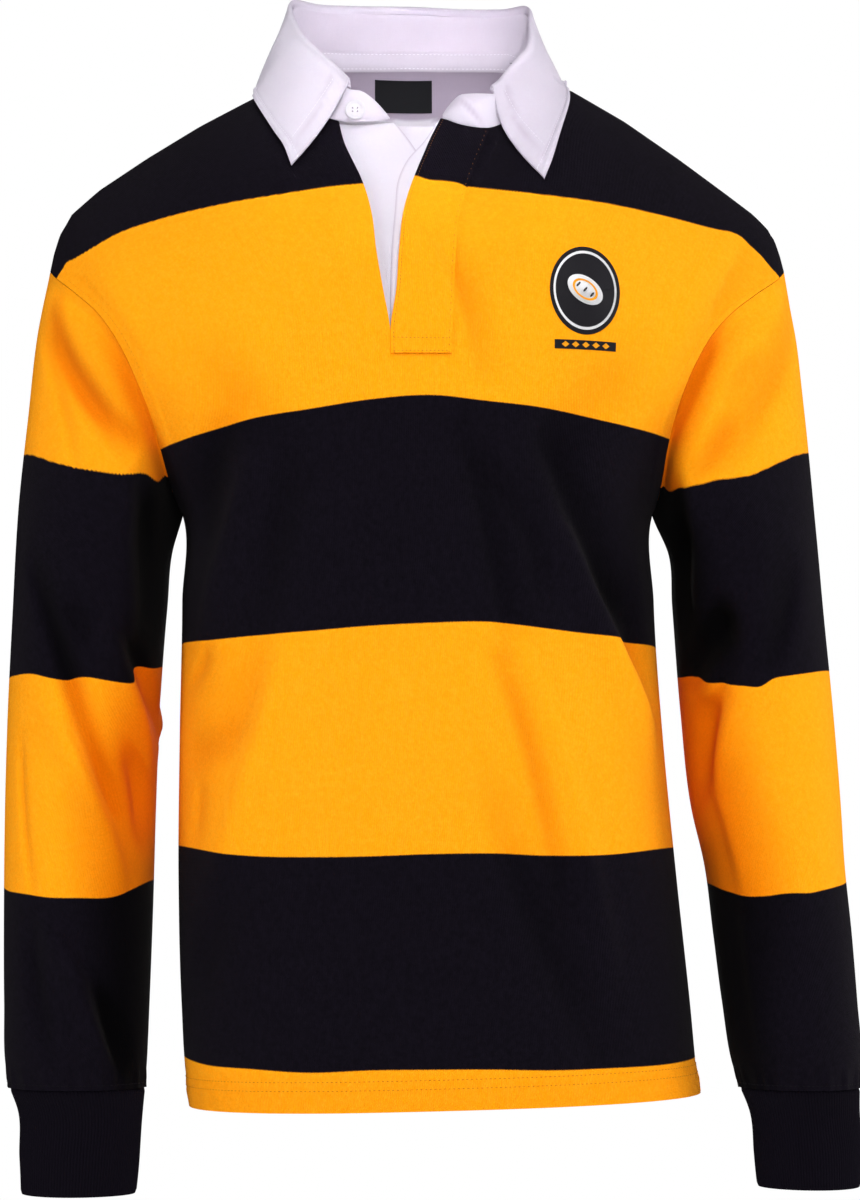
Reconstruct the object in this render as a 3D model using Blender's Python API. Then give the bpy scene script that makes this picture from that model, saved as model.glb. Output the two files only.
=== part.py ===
"""Long-sleeve rugby shirt, men's size M, filled out as it is worn, with nobody in it.

Metres, +Z up. The shirt faces -Y, so -X is the wearer's right. The origin lies midway between the high
points of the shoulders, where the neck seam meets the shoulder seams.

Every piece of cloth is a lattice of points on its outer face, worked out from the tables of sizes below,
and a second lattice one wall further in. Seams keep a gap of 0.3 mm.
"""
import math

import bpy
import numpy as np

GAP = 0.0003
JERSEY = 0.002
DRILL = 0.0014
RIB = 0.0022
BUTTON_RADIUS = 0.0076
BUTTON_TURN = 26.0
BUTTON_SHARE = 0.36
BUTTON_THICK = 0.003
RIGHT, LEFT = -1, 1
FRONT, BACK = -1, 1
AMBER = (1.0, 0.45, 0.012)
BLACK = (0.006, 0.005, 0.009)
WHITE = (0.80, 0.77, 0.85)
BUTTON_WHITE = (0.82, 0.80, 0.86)


def table(columns, *rows):
    """Column name to numpy array, from one row of sizes for each station."""
    return dict(zip(columns.split(), np.array(rows, float).T))


# Body, from the hem up: where each side stands, and how far the front and back stand from the side seams.
# Above the underarm the sides are those of the whole figure, arms and all, which the armholes cut.
BODY = table(
    "z right left front back",
    (-0.775, 0.158, 0.211, 0.117, 0.117),
    (-0.745, 0.163, 0.207, 0.119, 0.118),
    (-0.690, 0.167, 0.202, 0.121, 0.119),
    (-0.600, 0.170, 0.193, 0.124, 0.120),
    (-0.500, 0.170, 0.184, 0.128, 0.122),
    (-0.400, 0.169, 0.178, 0.132, 0.126),
    (-0.333, 0.170, 0.178, 0.135, 0.130),
    (-0.300, 0.187, 0.193, 0.135, 0.132),
    (-0.270, 0.208, 0.213, 0.135, 0.133),
    (-0.240, 0.234, 0.238, 0.134, 0.134),
    (-0.200, 0.272, 0.276, 0.133, 0.134),
    (-0.150, 0.316, 0.321, 0.132, 0.132),
    (-0.080, 0.360, 0.362, 0.131, 0.128),
    (0.060, 0.420, 0.420, 0.130, 0.124),
)
BODY_SQUARE = 2.4
UNDERARM = -0.333
HEM = -0.759
HEM_TILT = 0.024

# Ridge of the shoulders, from the neck out to the shoulder tips, and how it rounds to front and back.
RIDGE = table(
    "out right left",
    (0.000, 0.000, 0.000),
    (0.087, 0.000, 0.000),
    (0.120, -0.0165, -0.0105),
    (0.160, -0.0380, -0.0345),
    (0.200, -0.0630, -0.0630),
    (0.235, -0.0870, -0.0895),
    (0.255, -0.1050, -0.1050),
    (0.262, -0.1180, -0.1120),
    (0.2665, -0.1330, -0.1170),
    (0.270, -0.1500, -0.1240),
    (0.274, -0.1560, -0.1360),
    (0.2775, -0.1620, -0.1500),
)
ROUNDING = 0.22
FRONT_CURVE = 1.5
BACK_CURVE = 2.0

# Armhole seam seen from the front, from the underarm up to the shoulder tip.
ARMHOLE = table(
    "z right left",
    (UNDERARM, 0.1700, 0.1780),
    (-0.315, 0.1728, 0.1812),
    (-0.293, 0.1765, 0.1838),
    (-0.265, 0.1840, 0.1905),
    (-0.247, 0.1910, 0.1970),
    (-0.228, 0.1995, 0.2060),
    (-0.210, 0.2100, 0.2170),
    (-0.193, 0.2230, 0.2320),
    (-0.176, 0.2430, 0.2520),
    (-0.163, 0.2600, 0.2680),
    (-0.150, 0.2700, 0.2775),
)

# Neck seam seen from the front, by the turn round the neck in degrees, from centre front over the
# wearer's right to the back and on round.
NECK_HALF = 0.087
NECK = table(
    "turn x z",
    (0, 0.0000, -0.0500),
    (10, -0.0160, -0.0503),
    (20, -0.0318, -0.0520),
    (30, -0.0470, -0.0520),
    (40, -0.0605, -0.0480),
    (52, -0.0730, -0.0390),
    (65, -0.0812, -0.0250),
    (78, -0.0857, -0.0110),
    (90, -NECK_HALF, 0.0000),
    (101, -0.0868, 0.0062),
    (113, -0.0852, 0.0125),
    (125, -0.0800, 0.0185),
    (137, -0.0700, 0.0225),
    (149, -0.0540, 0.0250),
    (164, -0.0280, 0.0270),
    (180, 0.0000, 0.0280),
    (196, 0.0280, 0.0270),
    (211, 0.0540, 0.0250),
    (223, 0.0700, 0.0225),
    (235, 0.0800, 0.0185),
    (247, 0.0852, 0.0125),
    (259, 0.0868, 0.0062),
    (270, NECK_HALF, 0.0000),
    (282, 0.0857, -0.0115),
    (295, 0.0815, -0.0260),
    (308, 0.0748, -0.0410),
    (319, 0.0660, -0.0530),
    (329, 0.0540, -0.0578),
    (337, 0.0420, -0.0566),
    (343, 0.0330, -0.0540),
    (349, 0.0220, -0.0490),
    (360, 0.0000, -0.0460),
)
# Height of the nape over the level of the shoulders, at the seam and lower down the back.
NAPE = table(
    "out rise",
    (0.0000, 0.0508),
    (0.0280, 0.0465),
    (0.0540, 0.0393),
    (0.0700, 0.0314),
    (0.0800, 0.0230),
    (0.0852, 0.0141),
    (0.0868, 0.0064),
    (0.0870, 0.0000),
)
NAPE_WIDE = 0.110
SEAM_SHARP = 0.008
SOFTENED = 0.040

# The placket cut in the front, by height: the edges of the opening and of what lies behind it.
SLIT_FOOT = -0.220
PLACKET = table(
    "z underlap_edge fly_edge fly_seam facing_edge lap_right",
    (-0.240, -0.0140, -0.0140, 0.0285, -0.0146, 0.0180),
    (SLIT_FOOT, -0.0144, -0.0144, 0.0290, -0.0146, 0.0180),
    (-0.190, -0.0195, -0.0104, 0.0305, -0.0142, 0.0180),
    (-0.160, -0.0245, -0.0086, 0.0315, -0.0137, 0.0170),
    (-0.130, -0.0282, -0.0056, 0.0345, -0.0118, 0.0145),
    (-0.100, -0.0365, 0.0030, 0.0420, -0.0085, 0.0120),
    (-0.086, -0.0425, 0.0080, 0.0462, -0.0025, 0.0070),
    (-0.072, -0.0482, 0.0130, 0.0510, 0.0080, -0.0005),
    (-0.050, -0.0535, 0.0222, 0.0580, 0.0200, -0.0145),
)
FLY_FOOT = -0.2365

# Collar by the turn round the neck in degrees, from centre front over the wearer's right to the back and
# on round: the top of the roll, and the free edge of the leaf.
COLLAR = table(
    "turn roll_x roll_y roll_z edge_x edge_y edge_z",
    (29, -0.0457, -0.0600, -0.0180, -0.0865, -0.0870, -0.0905),
    (35, -0.0537, -0.0500, -0.0070, -0.0920, -0.0790, -0.0745),
    (43, -0.0630, -0.0400, 0.0040, -0.1000, -0.0660, -0.0600),
    (62, -0.0783, -0.0200, 0.0240, -0.1140, -0.0350, -0.0330),
    (90, -0.0868, 0.0000, 0.0420, -0.1202, 0.0000, -0.0130),
    (112, -0.0925, 0.0200, 0.0590, -0.1185, 0.0280, -0.0020),
    (130, -0.0910, 0.0390, 0.0735, -0.1040, 0.0560, 0.0080),
    (146, -0.0720, 0.0540, 0.0745, -0.0820, 0.0740, 0.0140),
    (163, -0.0380, 0.0615, 0.0755, -0.0440, 0.0840, 0.0170),
    (180, -0.0010, 0.0630, 0.0755, 0.0000, 0.0860, 0.0180),
    (197, 0.0370, 0.0610, 0.0730, 0.0440, 0.0840, 0.0160),
    (214, 0.0690, 0.0520, 0.0700, 0.0820, 0.0740, 0.0120),
    (230, 0.0875, 0.0360, 0.0672, 0.1030, 0.0550, 0.0060),
    (248, 0.0890, 0.0180, 0.0480, 0.1155, 0.0260, -0.0030),
    (272, 0.0866, -0.0040, 0.0250, 0.1150, -0.0040, -0.0140),
    (298, 0.0768, -0.0240, 0.0070, 0.1140, -0.0340, -0.0370),
    (313, 0.0680, -0.0400, -0.0080, 0.1070, -0.0640, -0.0640),
    (318, 0.0632, -0.0480, -0.0160, 0.1010, -0.0800, -0.0860),
    (323, 0.0580, -0.0580, -0.0230, 0.0949, -0.0900, -0.1030),
)
STAND_BELOW_ROLL = 0.007
RIGHT_BOW = 0.0055
LEFT_BOW = 0.0095
# Where the stand runs on past the leaf at each front end: its height over the neck seam.
STAND_ENDS = table(
    "turn height",
    (10.0, 0.0025),
    (13.5, 0.0100),
    (18.0, 0.0180),
    (24.0, 0.0245),
    (29.0, 0.0250),
    (323.0, 0.0250),
    (329.0, 0.0245),
    (335.0, 0.0215),
    (341.0, 0.0140),
    (345.5, 0.0045),
)

# Sleeves, from above the shoulder tip down to the cuff seam: outer and inner edge seen from the front,
# half the depth, and how far the middle stands forward.
SLEEVES = {
    RIGHT: table(
        "z outer inner deep forward",
        (-0.150, 0.2700, 0.1500, 0.066, 0.000),
        (-0.200, 0.2789, 0.1529, 0.070, 0.001),
        (-0.260, 0.2847, 0.1598, 0.073, 0.002),
        (-0.333, 0.2911, 0.1709, 0.072, 0.003),
        (-0.360, 0.2924, 0.1783, 0.070, 0.003),
        (-0.400, 0.2937, 0.1811, 0.067, 0.004),
        (-0.480, 0.2963, 0.1857, 0.063, 0.005),
        (-0.550, 0.2970, 0.1875, 0.060, 0.007),
        (-0.620, 0.2963, 0.1885, 0.056, 0.010),
        (-0.690, 0.2945, 0.1900, 0.052, 0.014),
        (-0.735, 0.2924, 0.1912, 0.047, 0.017),
        (-0.750, 0.2898, 0.1918, 0.043, 0.018),
    ),
    LEFT: table(
        "z outer inner deep forward",
        (-0.150, 0.2775, 0.1560, 0.066, 0.000),
        (-0.200, 0.2849, 0.1599, 0.070, 0.001),
        (-0.260, 0.2915, 0.1678, 0.073, 0.002),
        (-0.333, 0.2974, 0.1789, 0.072, 0.003),
        (-0.360, 0.2995, 0.1902, 0.070, 0.003),
        (-0.400, 0.3024, 0.1926, 0.067, 0.004),
        (-0.480, 0.3090, 0.1977, 0.063, 0.005),
        (-0.550, 0.3134, 0.2048, 0.060, 0.007),
        (-0.590, 0.3152, 0.2136, 0.058, 0.008),
        (-0.640, 0.3192, 0.2193, 0.055, 0.011),
        (-0.690, 0.3222, 0.2250, 0.052, 0.014),
        (-0.735, 0.3244, 0.2318, 0.047, 0.017),
        (-0.750, 0.3230, 0.2362, 0.043, 0.018),
    ),
}
CUFF_SEAM = -0.750
SEAM_FADE = 0.38

# Cuffs, from the sleeve down to the hand: the rib is drawn in just under its seam.
CUFFS = {
    RIGHT: table(
        "z outer inner deep forward",
        (CUFF_SEAM, 0.2894, 0.1920, 0.042, 0.018),
        (-0.766, 0.2826, 0.1928, 0.034, 0.019),
        (-0.800, 0.2812, 0.1952, 0.032, 0.021),
        (-0.825, 0.2802, 0.1978, 0.031, 0.022),
    ),
    LEFT: table(
        "z outer inner deep forward",
        (CUFF_SEAM, 0.3226, 0.2366, 0.042, 0.018),
        (-0.766, 0.3217, 0.2424, 0.034, 0.019),
        (-0.796, 0.3236, 0.2458, 0.032, 0.021),
        (-0.820, 0.3222, 0.2484, 0.031, 0.022),
    ),
}
CUFF_FACETS = 24
RIB_POINTS = 8
RIB_DEPTH = 0.0006

# Folds of the body panels: a line of three points, half width, and height outward (troughs are negative).
BODY_FOLDS = {
    FRONT: table(
        "x0 z0 x1 z1 x2 z2 wide high",
        (0.120, -0.385, 0.140, -0.455, 0.172, -0.530, 0.018, -0.009),
        (0.095, -0.300, 0.110, -0.350, 0.122, -0.395, 0.024, -0.004),
        (0.098, -0.400, 0.116, -0.470, 0.140, -0.550, 0.016, 0.006),
        (0.052, -0.405, 0.080, -0.465, 0.104, -0.560, 0.018, 0.006),
        (0.062, -0.430, 0.098, -0.490, 0.122, -0.575, 0.016, -0.005),
        (0.100, -0.620, 0.116, -0.660, 0.132, -0.720, 0.020, -0.007),
        (0.060, -0.600, 0.078, -0.660, 0.086, -0.740, 0.022, 0.005),
        (-0.100, -0.405, -0.104, -0.470, -0.138, -0.565, 0.020, 0.006),
        (-0.150, -0.400, -0.152, -0.440, -0.158, -0.480, 0.014, -0.004),
        (-0.140, -0.235, -0.118, -0.262, -0.090, -0.300, 0.022, -0.004),
        (0.150, -0.235, 0.122, -0.270, 0.092, -0.320, 0.024, -0.004),
    ),
    BACK: table(
        "x0 z0 x1 z1 x2 z2 wide high",
        (-0.140, -0.230, -0.100, -0.290, -0.070, -0.380, 0.026, -0.006),
        (0.145, -0.225, 0.110, -0.295, 0.075, -0.390, 0.026, -0.006),
        (-0.090, -0.360, -0.100, -0.470, -0.130, -0.590, 0.024, 0.006),
        (0.110, -0.380, 0.125, -0.480, 0.150, -0.600, 0.022, 0.007),
        (0.020, -0.420, 0.035, -0.520, 0.040, -0.640, 0.026, -0.005),
        (-0.030, -0.480, -0.045, -0.580, -0.050, -0.700, 0.024, 0.005),
    ),
}
# Folds of the sleeves: the same, by the turn round the sleeve (0 outside, 90 front) and the height.
SLEEVE_FOLDS = {
    RIGHT: table(
        "a0 z0 a1 z1 a2 z2 wide high",
        (28, -0.185, 62, -0.245, 135, -0.295, 0.016, -0.008),
        (60, -0.205, 95, -0.245, 150, -0.275, 0.015, 0.005),
        (40, -0.360, 62, -0.480, 110, -0.590, 0.020, -0.005),
        (70, -0.370, 95, -0.470, 130, -0.560, 0.018, 0.004),
        (20, -0.440, 30, -0.540, 40, -0.630, 0.018, 0.004),
        (210, -0.500, 260, -0.540, 320, -0.560, 0.022, -0.005),
        (200, -0.320, 240, -0.300, 290, -0.270, 0.020, -0.005),
    ),
    LEFT: table(
        "a0 z0 a1 z1 a2 z2 wide high",
        (45, -0.195, 85, -0.235, 140, -0.290, 0.020, -0.009),
        (30, -0.240, 70, -0.270, 135, -0.320, 0.018, 0.006),
        (60, -0.320, 100, -0.330, 150, -0.340, 0.016, -0.005),
        (70, -0.455, 95, -0.510, 140, -0.575, 0.018, 0.007),
        (95, -0.455, 125, -0.500, 165, -0.550, 0.018, -0.008),
        (60, -0.590, 100, -0.640, 150, -0.690, 0.018, -0.004),
        (210, -0.500, 260, -0.530, 320, -0.560, 0.022, -0.005),
        (200, -0.320, 240, -0.300, 290, -0.270, 0.020, -0.005),
    ),
}

# How finely each lattice is cut.
LOW_ROWS = 14
HIGH_ROWS = {FRONT: 13, BACK: 11}
SLIT_ROW = 4
SHOULDER_COLUMNS = 8
SHOULDER_CLOSE = 1.35
NECK_COLUMNS = {"right": 6, "back": 12, "left": 7}
SLEEVE_ROWS = 22


def smooth(at, stations, values):
    """Values read from a smooth curve through the stations, which rise."""
    at = np.asarray(at, float)
    slopes = np.gradient(values, stations)
    index = np.clip(np.searchsorted(stations, at) - 1, 0, len(stations) - 2)
    span = stations[index + 1] - stations[index]
    t = np.clip((at - stations[index]) / span, 0.0, 1.0)
    ease = t * t * (3.0 - 2.0 * t)
    start = t * (1.0 - t) ** 2 * span * slopes[index]
    end = t * t * (t - 1.0) * span * slopes[index + 1]
    return values[index] * (1.0 - ease) + values[index + 1] * ease + start + end


def unit(vectors):
    """The same directions, each one long."""
    return vectors / np.maximum(np.linalg.norm(vectors, axis=-1, keepdims=True), 1e-12)


def ease(t):
    """Soft step from 0 to 1."""
    t = np.clip(t, 0.0, 1.0)
    return t * t * (3.0 - 2.0 * t)


# ---------------------------------------------------------------- the body's form

def ridge_height(x):
    """Height of the shoulder ridge over x."""
    out = np.abs(x)
    right = np.interp(out, RIDGE["out"], RIDGE["right"])
    left = np.interp(out, RIDGE["out"], RIDGE["left"])
    return np.where(x < 0, right, left)


def form_start(x, z, face):
    """Height at which the form starts over x: as the seams run beside them, softened further down."""
    out = np.abs(x)
    ridge = ridge_height(x)
    spread = np.linspace(-SOFTENED, SOFTENED, 9)
    soft = ridge_height(np.asarray(x)[..., None] + spread).mean(-1)
    tip = ease((out - 0.190) / 0.045)
    soft = soft * (1.0 - tip) + ridge * tip
    seam = ridge
    if face == BACK:
        rear = (NECK["turn"] >= 90) & (NECK["turn"] <= 180)
        neck = np.interp(out, -NECK["x"][rear][::-1], NECK["z"][rear][::-1])
        seam = np.where(out < NECK_HALF, neck, ridge)
        ridge = ridge + np.interp(out, NAPE["out"], NAPE["rise"])
        soft = soft + NAPE["rise"][0] * np.exp(-(out / NAPE_WIDE) ** 2)
    near = np.exp(-np.clip(seam - z, 0.0, None) / SEAM_SHARP)
    return ridge * near + soft * (1.0 - near)


def body_depth(x, z, face):
    """How far the body stands in front of or behind the plane of the side seams."""
    side = np.where(x < 0, smooth(z, BODY["z"], BODY["right"]), smooth(z, BODY["z"], BODY["left"]))
    full = smooth(z, BODY["z"], BODY["front" if face == FRONT else "back"])
    across = np.clip(1.0 - np.clip(np.abs(x) / side, 0.0, 1.0) ** BODY_SQUARE, 0.0, 1.0)
    curve = FRONT_CURVE if face == FRONT else BACK_CURVE
    down = np.clip((form_start(x, z, face) - z) / ROUNDING, 0.0, 1.0)
    over = np.clip(1.0 - (1.0 - down) ** curve, 0.0, 1.0)
    return face * full * across ** (1.0 / BODY_SQUARE) * over ** (1.0 / curve)


def body_normal(x, z, face):
    """Outward direction of the body's form over the point (x, z)."""
    step = 0.002
    depth_x = (body_depth(x + step, z, face) - body_depth(x - step, z, face)) / (2 * step)
    depth_z = (body_depth(x, z + step, face) - body_depth(x, z - step, face)) / (2 * step)
    return unit(np.stack([-depth_x * face, np.full_like(depth_x, face), -depth_z * face], -1))


def fold_height(u, v, folds):
    """Height of the folds at (u, v), each a curved line with soft sides and ends."""
    names = list(folds)
    height = np.zeros(np.broadcast(u, v).shape)
    along = np.linspace(0.0, 1.0, 13)
    for row in zip(*folds.values()):
        fold = dict(zip(names, row))
        u0, v0, u1, v1, u2, v2 = row[:6]
        line_u = (1 - along) ** 2 * u0 + 2 * along * (1 - along) * u1 + along ** 2 * u2
        line_v = (1 - along) ** 2 * v0 + 2 * along * (1 - along) * v1 + along ** 2 * v2
        away = np.hypot(u[..., None] - line_u, v[..., None] - line_v)
        nearest = away.argmin(-1)
        ends = 0.35 + 0.65 * np.sin(np.pi * along[nearest]) ** 0.7
        height += fold["high"] * ends * np.exp(-(away.min(-1) / fold["wide"]) ** 2)
    return height


def neck_seam(turn):
    """The point (x, z) of the neck seam at a turn round the neck, from centre front over the right."""
    return np.stack([smooth(turn, NECK["turn"], NECK[k]) for k in ("x", "z")], -1)


def neck_turn(x):
    """The turn at which the front of the neck seam passes over x."""
    turns = np.linspace(0.0, 90.0, 400) if x < 0 else np.linspace(360.0, 270.0, 400)
    return np.interp(abs(x), np.abs(neck_seam(turns)[:, 0]), turns)


# ---------------------------------------------------------------- meshes

def normals_of(points, closed=False):
    """Directions square to a lattice; closed lattices join their last column to the first."""
    if closed:
        ring = np.concatenate([points[:, -1:], points, points[:, :1]], 1)
        across = (ring[:, 2:] - ring[:, :-2])
    else:
        across = np.gradient(points, axis=1)
    up = np.gradient(points, axis=0)
    return unit(np.cross(across, up))


def add_object(name, points, faces, colour, roughness):
    """One named mesh object with its own material."""
    mesh = bpy.data.meshes.new(name)
    mesh.from_pydata([tuple(map(float, point)) for point in points], [], faces)
    mesh.validate()
    mesh.shade_smooth()
    mesh.set_sharp_from_angle(angle=math.radians(40))
    material = bpy.data.materials.new(name)
    material.use_nodes = True
    shader = material.node_tree.nodes["Principled BSDF"]
    shader.inputs["Base Color"].default_value = (*colour, 1.0)
    shader.inputs["Roughness"].default_value = roughness
    shader.inputs["Metallic"].default_value = 0.0
    mesh.materials.append(material)
    thing = bpy.data.objects.new(name, mesh)
    bpy.context.scene.collection.objects.link(thing)
    return thing


def wall(name, outer, inner, colour, roughness, closed=False, open_quads=frozenset()):
    """A closed solid between two lattices of the same size, with a rim along every free edge."""
    rows, columns = outer.shape[:2]
    flat = np.concatenate([outer.reshape(-1, 3), inner.reshape(-1, 3)])
    where = np.unique(np.round(flat, 6), axis=0, return_inverse=True)[1].reshape(-1)
    half = rows * columns
    first = {}
    points = []
    index = []
    for place, key in enumerate(where):
        side_key = (int(key), place >= half)
        if side_key not in first:
            first[side_key] = len(points)
            points.append(flat[place])
        index.append(first[side_key])
    faces = []
    edges = {}
    last = columns if closed else columns - 1
    for row in range(rows - 1):
        for column in range(last):
            if (row, column) in open_quads:
                continue
            after = (column + 1) % columns
            corners = [row * columns + column, row * columns + after,
                       (row + 1) * columns + after, (row + 1) * columns + column]
            corners = [c for k, c in enumerate(corners) if index[c] != index[corners[k - 1]]]
            if len(corners) < 3:
                continue
            faces.append([index[c] for c in corners])
            faces.append([index[c + half] for c in reversed(corners)])
            for a, b in zip(corners, corners[1:] + corners[:1]):
                edges[(index[a], index[b])] = (a, b)
    for (start, end), (a, b) in edges.items():
        if (end, start) not in edges:
            faces.append([index[b], index[a], index[a + half], index[b + half]])
    return add_object(name, points, faces, colour, roughness)


# ---------------------------------------------------------------- body panels

def side_at(z, hand):
    """Where the side seam stands."""
    return hand * smooth(z, BODY["z"], BODY["right" if hand == RIGHT else "left"])


def hem_height(x):
    """The hem hangs a little lower at the wearer's right."""
    return HEM + HEM_TILT * (x - 0.02)


def armhole_at(share, hand):
    """Points (x, z) of the armhole seam, from the underarm (0) to the shoulder tip (1) by length."""
    x = hand * ARMHOLE["right" if hand == RIGHT else "left"]
    z = ARMHOLE["z"]
    length = np.concatenate([[0.0], np.cumsum(np.hypot(np.diff(x), np.diff(z)))])
    share = np.asarray(share) * length[-1]
    return np.stack([np.interp(share, length, x), np.interp(share, length, z)], -1)


def high_shares(face):
    """Rows above the underarm as shares of the way up, closer together towards the shoulder."""
    return 1.0 - (1.0 - np.linspace(0.0, 1.0, HIGH_ROWS[face] + 1)) ** 1.4


def shoulder_line(hand):
    """Points (x, z) from the shoulder tip to the high point at the neck, along the ridge."""
    tip = armhole_at(1.0, hand)
    x = np.linspace(tip[0], hand * NECK_HALF, 240)
    z = ridge_height(x)
    z[0], z[-1] = tip[1], 0.0
    length = np.concatenate([[0.0], np.cumsum(np.hypot(np.diff(x), np.diff(z)))])
    stops = length[-1] * np.linspace(0.0, 1.0, SHOULDER_COLUMNS + 1) ** SHOULDER_CLOSE
    return np.stack([np.interp(stops, length, x), np.interp(stops, length, z)], -1)


def coons(bottom, top, start, end, along, up):
    """Points between four border lines, given by shares along and up."""
    s, t = along[None, :, None], up[:, None, None]
    sides = (1 - s) * start[:, None] + s * end[:, None]
    ends = (1 - t) * bottom[None] + t * top[None]
    corners = ((1 - s) * (1 - t) * bottom[0] + s * (1 - t) * bottom[-1]
               + (1 - s) * t * top[0] + s * t * top[-1])
    return sides + ends - corners


def half_map(hand, face, top, centre_low, centre_high):
    """Lattice of (x, z) over one half of a panel, from the side seam to the panel's middle."""
    columns = len(top) - 1
    along = np.linspace(0.0, 1.0, columns + 1)
    spread = 1.0 - np.sin((1.0 - along) * math.pi / 2)
    low = []
    for share, middle in zip(np.linspace(0.0, 1.0, LOW_ROWS + 1), centre_low):
        level = hem_height(0.0) + (UNDERARM - hem_height(0.0)) * share
        side = side_at(level, hand)
        x = side + (middle - side) * spread
        z = level + (hem_height(x) - hem_height(0.0)) * (1.0 - share)
        low.append(np.stack([x, z], -1))
    low = np.array(low)
    shares = high_shares(face)
    seam = armhole_at(shares, hand)
    high = coons(low[-1], top, seam, centre_high, along, shares)
    return np.concatenate([low, high[1:]])


def centre_line_low(slit_x):
    """Middle of the front below the underarm: it leans a little towards the wearer's left."""
    share = np.linspace(0.0, 1.0, LOW_ROWS + 1)
    return 0.020 + (slit_x - 0.020) * share


def front_map():
    """Lattice of (x, z) over the front, its two middle columns parting at the placket's foot."""
    halves = []
    shares = high_shares(FRONT)
    foot = SLIT_FOOT
    for hand, column, seam_name in ((RIGHT, "underlap_edge", "right"), (LEFT, "fly_edge", "left")):
        edge_x = PLACKET[column][-1]
        turn_in = neck_turn(edge_x)
        turn_out = 90.0 if hand == RIGHT else 270.0
        turns = np.linspace(turn_out, turn_in, NECK_COLUMNS[seam_name] + 1)
        top = np.concatenate([shoulder_line(hand), neck_seam(turns)[1:]])
        top_z = top[-1][1]
        slit_share = shares[SLIT_ROW]
        below = shares <= slit_share + 1e-9
        z = np.where(below, UNDERARM + (foot - UNDERARM) * shares / slit_share,
                     foot + (top_z - foot) * (shares - slit_share) / (1.0 - slit_share))
        slit_x = np.where(below, PLACKET["fly_edge"][1], smooth(z, PLACKET["z"], PLACKET[column]))
        slit_x[-1] = top[-1][0]
        centre_high = np.stack([slit_x, z], -1)
        half = half_map(hand, FRONT, top, centre_line_low(PLACKET["fly_edge"][1]), centre_high)
        halves.append(half)
    return np.concatenate([halves[0], halves[1][:, ::-1]], 1), halves[0].shape[1]


def back_map():
    """Lattice of (x, z) over the back."""
    turns = np.linspace(90.0, 270.0, NECK_COLUMNS["back"] + 1)
    neck = neck_seam(turns)
    middle = NECK_COLUMNS["back"] // 2
    right_top = np.concatenate([shoulder_line(RIGHT), neck[1:middle + 1]])
    left_top = np.concatenate([shoulder_line(LEFT), neck[::-1][1:middle + 1]])
    shares = high_shares(BACK)
    low = centre_line_low(0.0)
    centre_z = UNDERARM + (neck[middle][1] - UNDERARM) * shares
    centre = np.stack([np.zeros_like(centre_z), centre_z], -1)
    right = half_map(RIGHT, BACK, right_top, low, centre)
    left = half_map(LEFT, BACK, left_top, low, centre)
    return np.concatenate([right, left[:, ::-1][:, 1:]], 1)


def panel_lattices(plan, face, split=None):
    """Outer and inner points of a body panel; the two columns at a split are one below its foot."""
    rows, columns = plan.shape[:2]
    x, z = plan[..., 0], plan[..., 1]
    outer = np.stack([x, body_depth(x, z, face), z], -1)
    outer[: LOW_ROWS + 1, [0, -1], 1] = 0.0
    outer[-1, : SHOULDER_COLUMNS + 1, 1] = 0.0
    outer[-1, columns - 1 - SHOULDER_COLUMNS:, 1] = 0.0
    normals = body_normal(x, z, face)
    inland = np.minimum(np.arange(columns), np.arange(columns)[::-1])[None, :] / 2.0
    below_top = (rows - 1 - np.arange(rows))[:, None] / 3.0
    lift = fold_height(x, z, BODY_FOLDS[face]) * ease(inland) * ease(below_top)
    outer = outer + normals * lift[..., None]
    square = normals_of(outer) * (1 if face == FRONT else -1)
    if split is not None:
        joined = slice(0, LOW_ROWS + SLIT_ROW + 1)
        outer[joined, split] = outer[joined, split - 1]
        square[joined, split - 1] += square[joined, split]
        square[joined, split] = square[joined, split - 1]
    for row in range(LOW_ROWS + 1):
        for column, hand in ((0, RIGHT), (columns - 1, LEFT)):
            square[row, column] = (hand, 0.0, square[row, column, 2] * 0.3)
    for span in (slice(0, SHOULDER_COLUMNS + 1), slice(columns - 1 - SHOULDER_COLUMNS, columns)):
        square[-1, span, 1] = 0.0
        square[-1, span, 2] = np.maximum(square[-1, span, 2], 0.3)
    square = unit(square)
    outer[: LOW_ROWS + 1, [0, -1], 1] += face * GAP / 2
    outer[-1, : SHOULDER_COLUMNS + 1, 1] += face * GAP / 2
    outer[-1, columns - 1 - SHOULDER_COLUMNS:, 1] += face * GAP / 2
    inner = outer - square * JERSEY
    return outer, inner, square


def build_body():
    """Front and back panels; returns the armhole borders that the sleeves are sewn to."""
    plan, split = front_map()
    outer, inner, square = panel_lattices(plan, FRONT, split)
    parted = set()
    for row in range(plan.shape[0] - 1):
        parted.add((row, split - 1))
    wall("front_panel", outer, inner, AMBER, 0.9, open_quads=parted)
    back_plan = back_map()
    back_outer, back_inner, back_square = panel_lattices(back_plan, BACK)
    wall("back_panel", back_outer[:, ::-1], back_inner[:, ::-1], AMBER, 0.9)
    borders = {}
    for hand, column in ((RIGHT, 0), (LEFT, -1)):
        front_edge = outer[LOW_ROWS:, column]
        back_edge = back_outer[LOW_ROWS:, column]
        borders[hand] = (front_edge, back_edge, square[LOW_ROWS:, column], back_square[LOW_ROWS:, column])
    return borders, (outer, inner, square), (back_outer, back_inner, back_square)


# ---------------------------------------------------------------- sleeves and cuffs

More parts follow.
